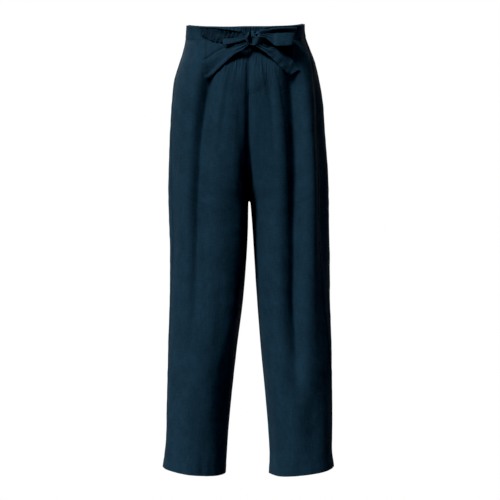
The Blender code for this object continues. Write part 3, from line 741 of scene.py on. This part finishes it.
def placed(name, mesh, material):
    """Puts a mesh into the scene as a piece of its material."""
    mesh.shade_smooth()
    mesh.materials.append(material)
    piece = bpy.data.objects.new(name, mesh)
    bpy.context.scene.collection.objects.link(piece)
    return piece


def ring_faces(rows, ring):
    """Faces between rows of points that each close into a ring, with the points and those after them."""
    index = np.arange(rows * ring).reshape(rows, ring)
    after = np.roll(index, -1, axis=1)
    quads = np.stack([index[:-1], index[1:], after[1:], after[:-1]], axis=-1).reshape(-1, 4)
    return index, after, quads


def unit(vectors):
    """The vectors at length 1."""
    return vectors / np.maximum(np.linalg.norm(vectors, axis=-1, keepdims=True), 1e-12)


def wall(name, outer, inner, uv, material):
    """Lofts a closed wall between two grids of points with the same rows and columns. The map holds
    metres of cloth across and along."""
    rows, columns = outer.shape[:2]
    count = rows * columns
    index = np.arange(count).reshape(rows, columns)
    quads = np.stack([index[:-1, :-1], index[:-1, 1:], index[1:, 1:], index[1:, :-1]], axis=-1)
    quads = quads.reshape(-1, 4)
    under = quads[:, ::-1] + count
    rim = np.concatenate([index[0], index[1:, -1], index[-1, -2::-1], index[-2:0:-1, 0]])
    following = np.roll(rim, -1)
    edges = np.stack([following, rim, rim + count, following + count], axis=-1)
    faces = np.concatenate([quads, under, edges])
    points = np.concatenate([outer.reshape(-1, 3), inner.reshape(-1, 3)])
    across = np.cross(outer[1, 1] - outer[0, 0], outer[0, 1] - outer[1, 0])
    if across @ (outer[0, 0] - inner[0, 0]) > 0.0:
        faces = faces[:, ::-1]
    mesh = bpy.data.meshes.new(name)
    mesh.from_pydata(points.tolist(), [], faces.tolist())
    layer = mesh.uv_layers.new(name="cloth")
    flat = np.concatenate([uv.reshape(-1, 2)] * 2)
    layer.uv.foreach_set("vector", flat[faces].reshape(-1).astype(np.float32))
    piece = placed(name, mesh, material)
    mesh.set_sharp_from_angle(angle=math.radians(SHARP_EDGE))
    return piece


def grid_normals(points):
    """Unit normals of a grid from its slopes along both ways."""
    return unit(np.cross(np.gradient(points, axis=0), np.gradient(points, axis=1)))


def lengths(points, axis):
    """Metres of cloth from a grid's first row or column."""
    steps = np.linalg.norm(np.diff(points, axis=axis), axis=-1)
    pad = [(1, 0), (0, 0)] if axis == 0 else [(0, 0), (1, 0)]
    return np.pad(np.cumsum(steps, axis=axis), pad)


def crowded(count, share):
    """Places from 0 to 1 that crowd towards both ends: a straight run less a share of a sine."""
    run = np.linspace(0.0, 1.0, count)
    return run - share * np.sin(2.0 * math.pi * run) / (2.0 * math.pi)


# Finishes

def node(tree, kind, inputs=(), **settings):
    """Adds a shader node with its settings, and its inputs by name or number."""
    made = tree.nodes.new(kind)
    for key, value in settings.items():
        setattr(made, key, value)
    for key, value in dict(inputs).items():
        socket = made.inputs[key]
        if isinstance(value, bpy.types.NodeSocket):
            tree.links.new(value, socket)
        else:
            socket.default_value = value
    return made


def maths(tree, operation, first, second=0.0):
    """The result of a math node."""
    return node(tree, "ShaderNodeMath", {0: first, 1: second}, operation=operation).outputs[0]


def matt(name, colour, rough, specular):
    """A matt material, with a function that gives it its two tones and its relief: the colour grows
    darker and lighter by a share as the tone goes from 0 to 1, and the relief is a bump."""
    material = bpy.data.materials.new(name)
    material.use_nodes = True
    tree = material.node_tree
    shader = tree.nodes["Principled BSDF"]
    shader.inputs["Roughness"].default_value = rough
    shader.inputs["Specular IOR Level"].default_value = specular

    def dress(tone, share, height, strength, distance):
        dark = [channel * (1.0 - share) for channel in colour]
        light = [channel * (1.0 + share) for channel in colour]
        mixed = node(tree, "ShaderNodeMix", {
            "Factor": tone, "A": (*dark, 1.0), "B": (*light, 1.0)}, data_type="RGBA")
        tree.links.new(mixed.outputs["Result"], shader.inputs["Base Color"])
        bump = node(tree, "ShaderNodeBump", {"Height": height, "Strength": strength, "Distance": distance})
        tree.links.new(bump.outputs["Normal"], shader.inputs["Normal"])

    return material, tree, shader, dress


def woven(name, colour, pitch):
    """Plain indigo cloth with slubs: the warp and weft are two ripples at the thread's pitch, and the
    slubs are noise drawn out along each, so that a thick thread shows as a faint streak."""
    material, tree, shader, dress = matt(name, colour, rough=0.88, specular=0.06)
    shader.inputs["Sheen Weight"].default_value = 0.01
    shader.inputs["Sheen Roughness"].default_value = 0.5
    shader.inputs["Sheen Tint"].default_value = (0.35, 0.55, 0.75, 1.0)
    place = node(tree, "ShaderNodeUVMap", uv_map="cloth").outputs["UV"]
    apart = node(tree, "ShaderNodeSeparateXYZ", {0: place})
    turns = 2.0 * math.pi / pitch
    warp, weft = (maths(tree, "SINE", maths(tree, "MULTIPLY", apart.outputs[axis], turns)) for axis in "XY")
    weave = maths(tree, "MULTIPLY", warp, weft)

    def streaks(scale_across, scale_along, detail):
        drawn = node(tree, "ShaderNodeMapping", {"Vector": place, "Scale": (scale_across, scale_along, 1.0)})
        return node(tree, "ShaderNodeTexNoise", {
            "Vector": drawn.outputs[0], "Scale": 1.0, "Detail": detail, "Roughness": 0.6}).outputs["Fac"]

    slubs = maths(tree, "ADD", streaks(60.0, 480.0, 3.0), streaks(420.0, 50.0, 3.0))
    tone = maths(tree, "ADD", slubs, streaks(26.0, 18.0, 2.0))
    spread = node(tree, "ShaderNodeMapRange", {
        "Value": tone, "From Min": 1.05, "From Max": 1.95, "To Min": 0.0, "To Max": 1.0}).outputs[0]
    height = maths(tree, "ADD", maths(tree, "MULTIPLY", weave, 0.35), slubs)
    dress(spread, CLOTH_GRAIN, height, 0.55, 0.0004)
    return material


def plain_thread(name, colour):
    """Matt sewing thread, a little lighter and darker along its length and finely ridged."""
    material, tree, _, dress = matt(name, colour, rough=0.75, specular=0.10)
    place = node(tree, "ShaderNodeTexCoord").outputs["Object"]
    tone, twist = (
        node(tree, "ShaderNodeTexNoise", {"Vector": place, "Scale": scale, "Detail": detail}).outputs["Fac"]
        for scale, detail in ((260.0, 2.0), (5200.0, 1.0)))
    dress(tone, THREAD_GRAIN, twist, 0.5, 0.0001)
    return material


def seen_white(tree, kind, lit, output):
    """Shows a plain white shader of this kind to the camera, and the other one to all other light."""
    seen = node(tree, kind, {"Color": (1.0, 1.0, 1.0, 1.0), "Strength": 1.0})
    path = node(tree, "ShaderNodeLightPath")
    mixed = node(tree, "ShaderNodeMixShader", {
        0: path.outputs["Is Camera Ray"], 1: lit.outputs[0], 2: seen.outputs[0]})
    node(tree, output, {"Surface": mixed.outputs[0]})


def white_stage():
    """White to the camera, and a pale grey to the light that falls on it."""
    material = bpy.data.materials.new("pale_floor")
    material.use_nodes = True
    tree = material.node_tree
    tree.nodes.clear()
    lit = node(tree, "ShaderNodeBsdfDiffuse", {"Color": (0.20, 0.20, 0.21, 1.0)})
    seen_white(tree, "ShaderNodeEmission", lit, "ShaderNodeOutputMaterial")
    return material


def finish_named(name):
    """The finish of the cloth, the tie, its right strap or the thread, made when it is first asked for. The
    right strap's colour is the tie's darkened by a share: painted shade for the shadow that falls in its
    crumples under the band's roll.
    """
    known = bpy.data.materials.get(name)
    if known is not None:
        return known
    settings = cloth_settings()
    if name == "indigo_thread":
        return plain_thread(name, tuple(settings.thread))
    if name == "indigo_strap_painted_shade":
        colour = [channel * settings.strap_painted_shade for channel in settings.tie_indigo]
    else:
        colour = settings.tie_indigo if name == "indigo_tie" else settings.indigo
    return woven(name, tuple(colour), settings.thread_pitch)


def settle(piece, slot_name, *nodes):
    """Rides the piece on the trousers' body and hides the solids that it stands for. The slot's name is not
    used.
    """
    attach(piece, BODY)
    if nodes:
        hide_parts(*nodes)
    return piece


def cut_piece(name, outer, inner):
    """Makes an indigo piece between its two faces in place of its solid, mapped by metres of cloth."""
    uv = np.stack([lengths(outer, 1), lengths(outer, 0)], axis=-1)
    return settle(wall(name + "_cloth", outer, inner, uv, finish_named("indigo_cloth")), "cloth", name)


class SAMUE_OT_legs(bpy.types.Operator):
    """Makes the four leg panels, fine walls on the form of their solids."""
    bl_idname = "samue.legs"
    bl_label = "Leg panels"

    def execute(self, context):
        top = BAND_FOOT
        level = top + (HEM - top) * np.linspace(0.0, 1.0, PANEL_ROWS)[:, None]
        for side in SIDES:
            seam = section("seam_" + side, level)
            fronts = seam * crowded(FRONT_COLUMNS, EDGE_CROWDING)[None, :]
            backs = seam + (1.0 - seam) * crowded(BACK_COLUMNS, EDGE_CROWDING)[None, :]
            for name, turn in (("front_" + side, fronts), ("back_" + side, backs)):
                outer = cloth(side, turn, level, 0.0)
                inner = cloth(side, turn, level, -cloth_settings().wall)
                panel = cut_piece(name, outer, inner)
        return {"FINISHED"}


class SAMUE_OT_waistband(bpy.types.Operator):
    """Makes the two halves of the folded waistband."""
    bl_idname = "samue.waistband"
    bl_label = "Waistband"

    def execute(self, context):
        share = np.linspace(0.0, 1.0, BAND_ROWS)[:, None]
        turn = np.linspace(0.0, 1.0, BAND_COLUMNS)[None, :]
        top = BAND_TOP - BAND_CORNER * bell(turn - 0.5, CORNER_TURN)
        level = top + (BAND_FOOT - top) * share
        wall_size = cloth_settings().band_wall
        rounding = np.sqrt(np.clip(1.0 - (1.0 - np.minimum(share / BAND_ROUNDING, 1.0)) ** 2, 0.0, 1.0))
        for side in SIDES:
            middle = BAND_PROUD - 0.5 * wall_size
            half = 0.5 * wall_size * np.maximum(rounding, 0.08)
            outer = cloth(side, turn, level, middle + half)
            inner = cloth(side, turn, level, middle - half)
            band = cut_piece("waistband_" + side, outer, inner)
        return {"FINISHED"}


# The fly's pressed groove: its depth, how far from the edge it runs and its width. Then the height of its
# ripples, how far it thins and over what width at every edge and again at its outer one, and the least
# that is left.
FLY_GROOVE = (0.00030, 0.0042, 0.0011)
FLY_RIPPLE = 0.0003
FLY_THINNING = ((0.0005, 0.0012), (0.0009, 0.012))
FLY_THINNEST = 0.0002


def fly_curve(share):
    """How wide the fly is down its length: straight at first, then a quarter ellipse in to its foot."""
    curving = np.clip((share - FLY_CURVE_FROM) / (1.0 - FLY_CURVE_FROM), 0.0, 1.0)
    return np.sqrt(1.0 - curving ** 2)


class SAMUE_OT_fly(bpy.types.Operator):
    """Makes the fly, which laps from the left front over the centre seam and ends in a curve."""
    bl_idname = "samue.fly"
    bl_label = "Fly"

    def execute(self, context):
        share = np.linspace(0.0, 1.0, FLY_ROWS)[:, None]
        across = np.linspace(0.0, 1.0, FLY_COLUMNS)[None, :]
        top = BAND_FOOT - WAIST_DIP - 2.0 * SEAM_GAP
        z = top + (FLY_FOOT - top) * share
        width = FLY_LAP + np.maximum(FLY_WIDTH * fly_curve(share), FLY_TIP)
        x = -FLY_LAP + width * across
        z = np.broadcast_to(z, x.shape)
        from_edge = np.minimum(across, 1.0 - across) * width
        depth, margin, wide = FLY_GROOVE
        stitched = -depth * bell(from_edge - margin, wide)
        ripple = FLY_RIPPLE * uneven(51, x, z, 0.009, 0.030)
        from_outer = np.minimum((1.0 - across) * width, (1.0 - share) * (top - FLY_FOOT))
        rounded = sum(drop * (1.0 - smoothstep(away / reach))
                      for (drop, reach), away in zip(FLY_THINNING, (from_edge, from_outer)))
        outer = on_front(x, z, FLY_STAND + np.maximum(FLY_WALL + stitched + ripple - rounded, FLY_THINNEST))
        inner = on_front(x, z, FLY_STAND + 0.0 * x)
        fly = cut_piece("fly", outer, inner)
        return {"FINISHED"}


# How far the left strap swells along its crest, how far the right strap's upper edge leans out, how much
# of a tail and of a strap rests on the cloth, and how clear of it a tail lies
STRAP_CREST = 0.0026
STRAP_LEAN = 0.0008
TAIL_REST = 0.85
STRAP_REST = 0.90
TAIL_CLEAR = 0.0030


def strip_middle(name, rows, columns):
    """The middle of a stretch of the tie: a ruled strip between its two edges, each a smooth curve. A
    loop stands off the smooth front. A strap and a free end come down from the knot until most of them
    rests on the gathered cloth, smoothed by the mean of four places a ripple apart in all."""
    table = np.array(TIE_STRIPS[name])
    knots = np.arange(len(table), dtype=float)
    places = np.linspace(0.0, knots[-1], rows)
    along = {title: through(knots, table[:, column], places) for column, title in enumerate(STRIP_COLUMNS)}
    across = np.linspace(0.0, 1.0, columns)[None, :]
    x, z = (along[axis + "_upper"][:, None] * (1.0 - across) + along[axis + "_lower"][:, None] * across
            for axis in "xz")
    run = places[:, None] / knots[-1]
    from_knot = 1.0 - run if name == "tie_strap_right" else run
    stand = along["stand"][:, None] + 0.0 * across
    if name == "tie_strap_left":
        rolled = STRAP_CREST * bell(across - 0.30, 0.22) - STRAP_CREST * smoothstep((across - 0.45) / 0.55)
        stand = stand + rolled * smoothstep(from_knot / 0.25) * smoothstep((1.0 - from_knot) / 0.15)
    if name == "tie_strap_right":
        stand = stand + STRAP_LEAN * (1.0 - across) * smoothstep(run / 0.12) * smoothstep((1.0 - run) / 0.20)
    hanging = on_front(x, z, stand, folds=False)
    if "loop" in name:
        return hanging
    rest = TAIL_REST * smoothstep((run - 0.10) / 0.55)
    clear = TAIL_CLEAR + 0.0 * x
    if "strap" in name:
        rest = STRAP_REST * smoothstep((from_knot - 0.06) / 0.30)
        clear = stand
    spans = (-0.375, -0.125, 0.125, 0.375)
    over = sum(on_front(x + span * GATHER_PITCH, z, clear) for span in spans) / len(spans)
    return hanging * (1.0 - rest[..., None]) + over * rest[..., None]


# Pleats along each stretch: how many across it, how deep at the knot's end and how far from it they
# reach, then the crumple's depth over the rest, and the seed of its unevenness
TIE_FOLD_COLUMNS = ("pleats", "depth", "reach", "crumple", "seed")
TIE_FOLDS = {
    "tie_strap_right": (2.5, 0.0006, 0.040, 0.0009, 61),
    "tie_strap_left": (1.5, 0.0006, 0.040, 0.0004, 62),
    "tie_loop_right": (1.5, 0.0006, 0.020, 0.0003, 63),
    "tie_loop_left": (2.5, 0.0012, 0.018, 0.0003, 64),
    "tie_tail_right": (2.0, 0.0012, 0.028, 0.0003, 65),
    "tie_tail_left": (2.0, 0.0014, 0.030, 0.0013, 66),
}


def strip_relief(name, run, across, width):
    """How far a strip's surface moves: pleats that fan out from the knot's end, and a crumple."""
    fold = dict(zip(TIE_FOLD_COLUMNS, TIE_FOLDS[name]))
    total = run[-1:, :]
    from_knot = run
    if name == "tie_strap_right":
        from_knot = total - run
    if "loop" in name:
        from_knot = np.minimum(run, total - run)
    fan = np.cos(2.0 * math.pi * fold["pleats"] * (across - 0.08) + 0.6)
    fanned = fold["depth"] * fan * bell(from_knot, fold["reach"])
    crumple = fold["crumple"] * uneven(fold["seed"], across * width, run, 0.012, 0.009)
    if name == "tie_strap_right":
        fine = uneven(73, run, across * width, 0.0042, 0.0085)
        slanted = run + 0.30 * across * width
        drawn = STRAP_PLEAT * leaning_pleats(slanted, across * width, STRAP_PITCH, STRAP_RISE)
        crumple = crumple + (drawn + STRAP_CRUMPLE * fine) * smoothstep(from_knot / 0.02)
    return fanned + crumple


def tie_faces(name):
    """The two faces of a stretch of the tie, and the metres of cloth across and along it. The stretch
    thins towards its rolled edges as the root of 1 less the sixth power."""
    across = np.linspace(0.0, 1.0, STRIP_COLUMNS_ACROSS)[None, :]
    middle = strip_middle(name, STRIP_ROWS.get(name, STRIP_ROWS_PLAIN), STRIP_COLUMNS_ACROSS)
    run = lengths(middle, 0)
    girth = lengths(middle, 1)
    normal = grid_normals(middle)
    faces_front = np.sign(-normal[..., 1:2])
    middle = middle + normal * faces_front * strip_relief(name, run, across, girth[:, -1:])[..., None]
    normal = grid_normals(middle)
    thickness = 0.5 * cloth_settings().tie_wall
    half = thickness * np.maximum(np.sqrt(1.0 - np.abs(2.0 * across - 1.0) ** 6), 0.12) + 0.0 * run
    return middle + half[..., None] * normal, middle - half[..., None] * normal, girth, run


class SAMUE_OT_tie(bpy.types.Operator):
    """Makes the straps, loops and ends of the tie, each a pressed tube of cloth with rolled edges."""
    bl_idname = "samue.tie"
    bl_label = "Tie"

    def execute(self, context):
        for name in TIE_STRIPS:
            outer, inner, girth, run = tie_faces(name)
            uv = np.stack([girth, run], axis=-1)
            # The right strap gets the finish with painted shade darkening its colour
            finish = "indigo_strap_painted_shade" if name == "tie_strap_right" else "indigo_tie"
            stretch = wall(name + "_cloth", outer, inner, uv, finish_named(finish))
            settle(stretch, "tie", name)
        return {"FINISHED"}


# The lobes and hollows of the knot's front, a row for each: how far it rises or sinks, then the middle and
# the width of its bell across and up, all in shares of the knot's half sizes. First the lobe on either
# side, then the hollow that the turn leaves in the right one and the notch over it.
KNOT_LOBES = (
    (0.30, -0.74, 0.22, 0.35, 0.65),
    (0.30, 0.52, 0.24, -0.28, 0.36),
    (-0.42, 0.33, 0.14, 0.25, 0.17),
    (-0.50, 0.20, 0.15, 0.85, 0.24),
)


class SAMUE_OT_knot(bpy.types.Operator):
    """Makes the knot: a ball with a flat back, parted by a slanting valley into two bunched lobes with a
    smile of a fold and fine ridges on them."""
    bl_idname = "samue.knot"
    bl_label = "Knot"

    def execute(self, context):
        polar = np.linspace(0.0, math.pi, KNOT_ROWS)[:, None]
        azimuth = np.linspace(0.0, 2.0 * math.pi, KNOT_COLUMNS)[None, :]
        bx = np.sin(polar) * np.cos(azimuth)
        by = np.sin(polar) * np.sin(azimuth)
        bz = np.cos(polar) + 0.0 * azimuth
        front = smoothstep(-by / 0.5)
        lobes = sum(rise * bell(bx - mid_x, wide_x) * bell(bz - mid_z, wide_z)
                    for rise, mid_x, wide_x, mid_z, wide_z in KNOT_LOBES)
        spread = 0.10 + 0.27 * smoothstep((0.15 - bz) / 0.5)
        valley = 0.70 * bell(bx + 0.44 - 0.10 * (0.87 - bz), spread)
        smile = 0.16 * bell(bz + 0.12 - 1.3 * (bx - 0.55) ** 2, 0.08) * bell(bx - 0.5, 0.40)
        fine = 0.05 * np.cos(26.0 * bx + 6.0 * bz) * bell(bz + 0.2, 0.6)
        swell = 1.0 + front * (lobes + smile + fine - valley)
        bulge = np.clip(np.sign(-by) * np.abs(by) ** 0.62, -KNOT_FLAT, 1.0) + KNOT_FLAT
        x = KNOT_X + KNOT_HALF_WIDTH * bx * (1.0 - 0.12 * bz)
        z = KNOT_Z + KNOT_HALF_HEIGHT * bz * (1.0 - 0.22 * bell(bx - 0.22, 0.20) * (bz > 0.0))
        outer = on_front(x, z, KNOT_STAND + KNOT_HALF_DEPTH * bulge * swell, folds=False)
        ring = KNOT_COLUMNS - 1
        index, after, quads = ring_faces(KNOT_ROWS - 2, ring)
        north = index.size
        top = np.stack([index[0], after[0], np.full(ring, north)], axis=-1)
        foot = np.stack([after[-1], index[-1], np.full(ring, north + 1)], axis=-1)
        points = np.concatenate([outer[1:-1, :-1].reshape(-1, 3), outer[:1, 0], outer[-1:, 0]])
        mesh = bpy.data.meshes.new("tie_knot_cloth")
        mesh.from_pydata(points.tolist(), [], quads.tolist() + top.tolist() + foot.tolist())
        layer = mesh.uv_layers.new(name="cloth")
        loops = np.zeros(len(mesh.loops), dtype=np.int32)
        mesh.loops.foreach_get("vertex_index", loops)
        flat = points[:, (0, 2)]
        layer.uv.foreach_set("vector", flat[loops].reshape(-1).astype(np.float32))
        knot = placed("tie_knot_cloth", mesh, finish_named("indigo_tie"))
        settle(knot, "tie", "tie_knot")
        return {"FINISHED"}


# The rings of a stitch: how far along it each lies as a share of its length, how far it lifts off the
# cloth and how wide it is as shares of the thread's radius. Then the points round a ring, the share of
# the pitch that a stitch takes, and how far inside an edge or beside a seam each row is sewn.
STITCH_RINGS = ((-0.46, -0.30, 0.45), (-0.20, 0.22, 1.0), (0.20, 0.22, 1.0), (0.46, -0.30, 0.45))
STITCH_SIDES = 5
STITCH_SHARE = 0.72
BAND_TOP_MARGIN = 0.0032
BAND_FOOT_MARGIN = 0.0026
SEAM_MARGIN = 0.0046
FLY_MARGIN = 0.006
TIE_MARGIN = 3              # columns or rows of the tie's grid inside its edge

# The bars across both lips of a slit: how far from it, how many, their length, and how much wider than
# the other stitches
LIP = 0.0021
BARS = 22
BAR_LENGTH = 0.0028
BAR_WIDTH = 1.6


def spaced(path, off, pitch):
    """Places at even spacing along a path: the point, the way along and the way off the cloth at each."""
    steps = np.linalg.norm(np.diff(path, axis=0), axis=-1)
    run = np.concatenate([[0.0], np.cumsum(steps)])
    count = max(int(run[-1] / pitch), 2)
    places = (np.arange(count) + 0.5) * run[-1] / count

    def at(values, where):
        return np.stack([np.interp(where, run, values[:, axis]) for axis in range(3)], axis=-1)

    point = at(path, places)
    ahead = unit(at(path, places + 0.2 * pitch) - at(path, places - 0.2 * pitch))
    up = at(off, places)
    up = unit(up - (up * ahead).sum(axis=-1, keepdims=True) * ahead)
    return point, ahead, up


def stitches(name, runs, length, width, slot_name):
    """Short tubes of thread as one mesh. A stitch runs through four rings: it lies on the cloth along
    its middle and dips into it at both ends."""
    angle = 2.0 * math.pi * np.arange(STITCH_SIDES) / STITCH_SIDES
    radius = 0.5 * width
    point, ahead, up = (np.concatenate(part) for part in zip(*runs))
    beside = np.cross(up, ahead)
    parts = []
    for along, lift, swell in STITCH_RINGS:
        centre = point + ahead * along * length + up * lift * radius
        ring = beside[:, None] * np.cos(angle)[None, :, None] + up[:, None] * np.sin(angle)[None, :, None]
        parts.append(centre[:, None] + ring * swell * radius)
    points = np.stack(parts, axis=1).reshape(-1, 3)
    index, _, quads = ring_faces(len(STITCH_RINGS), STITCH_SIDES)
    starts = index.size * np.arange(len(point))
    walls = (quads[None, :, ::-1] + starts[:, None, None]).reshape(-1, 4)
    first = index[0][::-1][None] + starts[:, None]
    last = index[-1][None] + starts[:, None]
    mesh = bpy.data.meshes.new(name)
    mesh.from_pydata(points.tolist(), [], walls.tolist() + first.tolist() + last.tolist())
    return settle(placed(name, mesh, finish_named("indigo_thread")), slot_name)


def seam_run(side, turn, level, pitch):
    """Even places along a line of the cloth given by its turns and levels."""
    path = cloth(side, turn, level, 0.0)
    off = cloth(side, turn, level, 0.001) - path
    return spaced(path, off, pitch)


class SAMUE_OT_stitches(bpy.types.Operator):
    """Sews the hems, the band, the centre seams, the fly, the slits and the tie with short stitches."""
    bl_idname = "samue.stitches"
    bl_label = "Stitches"

    def execute(self, context):
        sewing = context.scene.samue_sewing
        pitch, width, length = sewing.stitch, sewing.thread_width, STITCH_SHARE * sewing.stitch
        hem_level = HEM + sewing.hem_depth - HEM_MARGIN
        turn = np.linspace(0.002, 0.998, 500)
        for side in SIDES:
            hem = seam_run(side, turn, hem_level + 0.0 * turn, pitch)
            stitches("hem_stitches_" + side, [hem], length, width, "cloth")
            rows = []
            for level in (BAND_TOP - BAND_TOP_MARGIN, BAND_FOOT + BAND_FOOT_MARGIN):
                point, ahead, up = seam_run(side, turn, level + 0.0 * turn, pitch)
                rows.append((point + up * BAND_PROUD, ahead, up))
            down = np.linspace(-0.150, CROTCH + 0.012, 90)
            rows.append(seam_run(side, SEAM_MARGIN / RING_LENGTH + 0.0 * down, down, pitch))
            seat = np.linspace(-0.020, CROTCH + 0.012, 120)
            rows.append(seam_run(side, 1.0 - SEAM_MARGIN / RING_LENGTH + 0.0 * seat, seat, pitch))
            stitches("band_stitches_" + side, rows, length, width, "cloth")
            self.slit_stitches(side, width)
        self.fly_stitches(pitch, length, width)
        for name in TIE_STRIPS:
            outer, inner, _, _ = tie_faces(name)
            edge = -TIE_MARGIN
            rows = [spaced(face[:, edge], face[:, edge] - back[:, edge], pitch)
                    for face, back in ((outer, inner), (inner, outer))]
            if "tail" in name:
                rows.append(spaced(outer[edge], outer[edge] - inner[edge], pitch))
            stitches(name + "_stitches", rows, length, width, "tie")
        return {"FINISHED"}

    def fly_stitches(self, pitch, length, width):
        """The J: down the fly 6 mm inside its outer edge, round the curve and in to the centre seam."""
        share = np.linspace(0.0, 1.0, 160)
        top = BAND_FOOT - WAIST_DIP - 0.004
        foot = FLY_FOOT + FLY_MARGIN
        z = top + (foot - top) * share
        x = np.maximum((FLY_WIDTH - FLY_MARGIN) * fly_curve(share), 0.003)
        path = on_front(x, z, FLY_STAND + FLY_WALL + 0.0 * x)
        off = on_front(x, z, FLY_STAND + FLY_WALL + 0.001 + 0.0 * x) - path
        stitches("fly_stitches", [spaced(path, off, pitch)], length, width, "cloth")

    def slit_stitches(self, side, width):
        """Close bars across both lips of the slit."""
        place, top, foot = SLITS[side]
        z = np.linspace(top + 0.0008, foot - 0.0008, BARS)
        stand = BAND_PROUD + 0.0 * z
        rows = []
        for x in (place - LIP + 0.0 * z, place + LIP + 0.0 * z):
            point = on_front(x, z, stand)
            up = unit(on_front(x, z, stand + 0.001) - point)
            rows.append((point, unit(on_front(x + 0.0004, z, stand) - point), up))
        stitches("slit_stitches_" + side, rows, BAR_LENGTH, BAR_WIDTH * width, "cloth")


class SAMUE_OT_stage(bpy.types.Operator):
    """Sets the pale floor, the studio light and the camera at the photograph's angle."""
    bl_idname = "samue.stage"
    bl_label = "Stage"

    def execute(self, context):
        scene = context.scene
        settings = scene.samue_stage
        low, high = CAD_BOX
        level = low[2] - settings.floor_drop
        corners = [(x * FLOOR_HALF, y * FLOOR_HALF, level) for x, y in ((-1, -1), (1, -1), (1, 1), (-1, 1))]
        mesh = bpy.data.meshes.new("floor")
        mesh.from_pydata(corners, [], [(0, 1, 2, 3)])
        placed("floor", mesh, white_stage())
        centre = 0.5 * (Vector(low) + Vector(high))
        self.light("key", "SUN", Vector(), azimuth=-43.0, elevation=44.0, distance=6.0,
                   angle=math.radians(15.0), energy=settings.key_strength)
        self.light("behind", "AREA", centre, azimuth=-150.0, elevation=34.0, distance=4.0,
                   shape="SQUARE", size=1.2, energy=settings.back_power)
        self.light("behind_left", "AREA", centre, azimuth=156.0, elevation=20.0, distance=4.0,
                   shape="SQUARE", size=1.2, energy=0.25 * settings.back_power)
        self.world(scene, settings.fill)
        self.camera(scene, settings.lens)
        scene.view_settings.view_transform = "Standard"
        scene.view_settings.look = "None"
        scene.view_settings.use_curve_mapping = True
        scene.view_settings.curve_mapping.black_level = SHADOW_BLACK
        scene.view_settings.curve_mapping.update()
        return {"FINISHED"}

    def light(self, name, kind, aim, azimuth, elevation, distance, **settings):
        """A soft light turned to a point, this far off at this azimuth and elevation. Azimuth 0 is the
        front. Of the key, which is a far light, only the direction and the spread count."""
        data = bpy.data.lights.new(name, kind)
        for key, value in settings.items():
            setattr(data, key, value)
        light = bpy.data.objects.new(name, data)
        turn, rise = math.radians(azimuth), math.radians(elevation)
        away = Vector((math.sin(turn) * math.cos(rise), -math.cos(turn) * math.cos(rise), math.sin(rise)))
        light.location = aim + away * distance
        light.rotation_mode = "QUATERNION"
        light.rotation_quaternion = (-away).to_track_quat("-Z", "Y")
        bpy.context.scene.collection.objects.link(light)

    def world(self, scene, fill):
        """White behind the trousers, with a weak even light from all round."""
        world = bpy.data.worlds.new("studio")
        scene.world = world
        world.use_nodes = True
        tree = world.node_tree
        tree.nodes.clear()
        soft = node(tree, "ShaderNodeBackground", {"Color": (0.95, 0.98, 1.0, 1.0), "Strength": fill})
        seen_white(tree, soft.bl_idname, soft, "ShaderNodeOutputWorld")

    def camera(self, scene, lens):
        """Level with the hips, 3.5 m in front, and looking a little down."""
        data = bpy.data.cameras.new("camera")
        data.lens = lens
        data.sensor_width = CAMERA_SENSOR
        camera = bpy.data.objects.new("camera", data)
        camera.location = CAMERA_PLACE
        camera.rotation_euler = (math.radians(90.0 - CAMERA_DIP), 0.0, 0.0)
        scene.collection.objects.link(camera)
        scene.camera = camera


STEPS = (SAMUE_OT_stage, SAMUE_OT_legs, SAMUE_OT_waistband, SAMUE_OT_fly, SAMUE_OT_tie, SAMUE_OT_knot,
         SAMUE_OT_stitches)


class SAMUE_PT_sidebar(bpy.types.Panel):
    """Lists the steps and the settings."""
    bl_label = "Samue trousers"
    bl_idname = "SAMUE_PT_sidebar"
    bl_space_type = "VIEW_3D"
    bl_region_type = "UI"
    bl_category = "Samue"

    def draw(self, context):
        for step in STEPS:
            self.layout.operator(step.bl_idname)
        for group in (context.scene.samue_cloth, context.scene.samue_sewing, context.scene.samue_stage):
            box = self.layout.box()
            for key in group.__annotations__:
                box.prop(group, key)


SETTINGS = {
    "samue_cloth": SamueClothSettings,
    "samue_sewing": SamueSewingSettings,
    "samue_stage": SamueStageSettings,
}
CLASSES = (*SETTINGS.values(), *STEPS, SAMUE_PT_sidebar)


def register():
    for made in CLASSES:
        bpy.utils.register_class(made)
    for name, group in SETTINGS.items():
        setattr(bpy.types.Scene, name, PointerProperty(type=group))


def unregister():
    for name in SETTINGS:
        delattr(bpy.types.Scene, name)
    for made in reversed(CLASSES):
        bpy.utils.unregister_class(made)


def run(step):
    """Calls one step's operator by its name."""
    area, name = step.bl_idname.split(".")
    getattr(getattr(bpy.ops, area), name)()


def main():
    register()
    for step in STEPS:
        run(step)


if __name__ == "__main__":
    main()
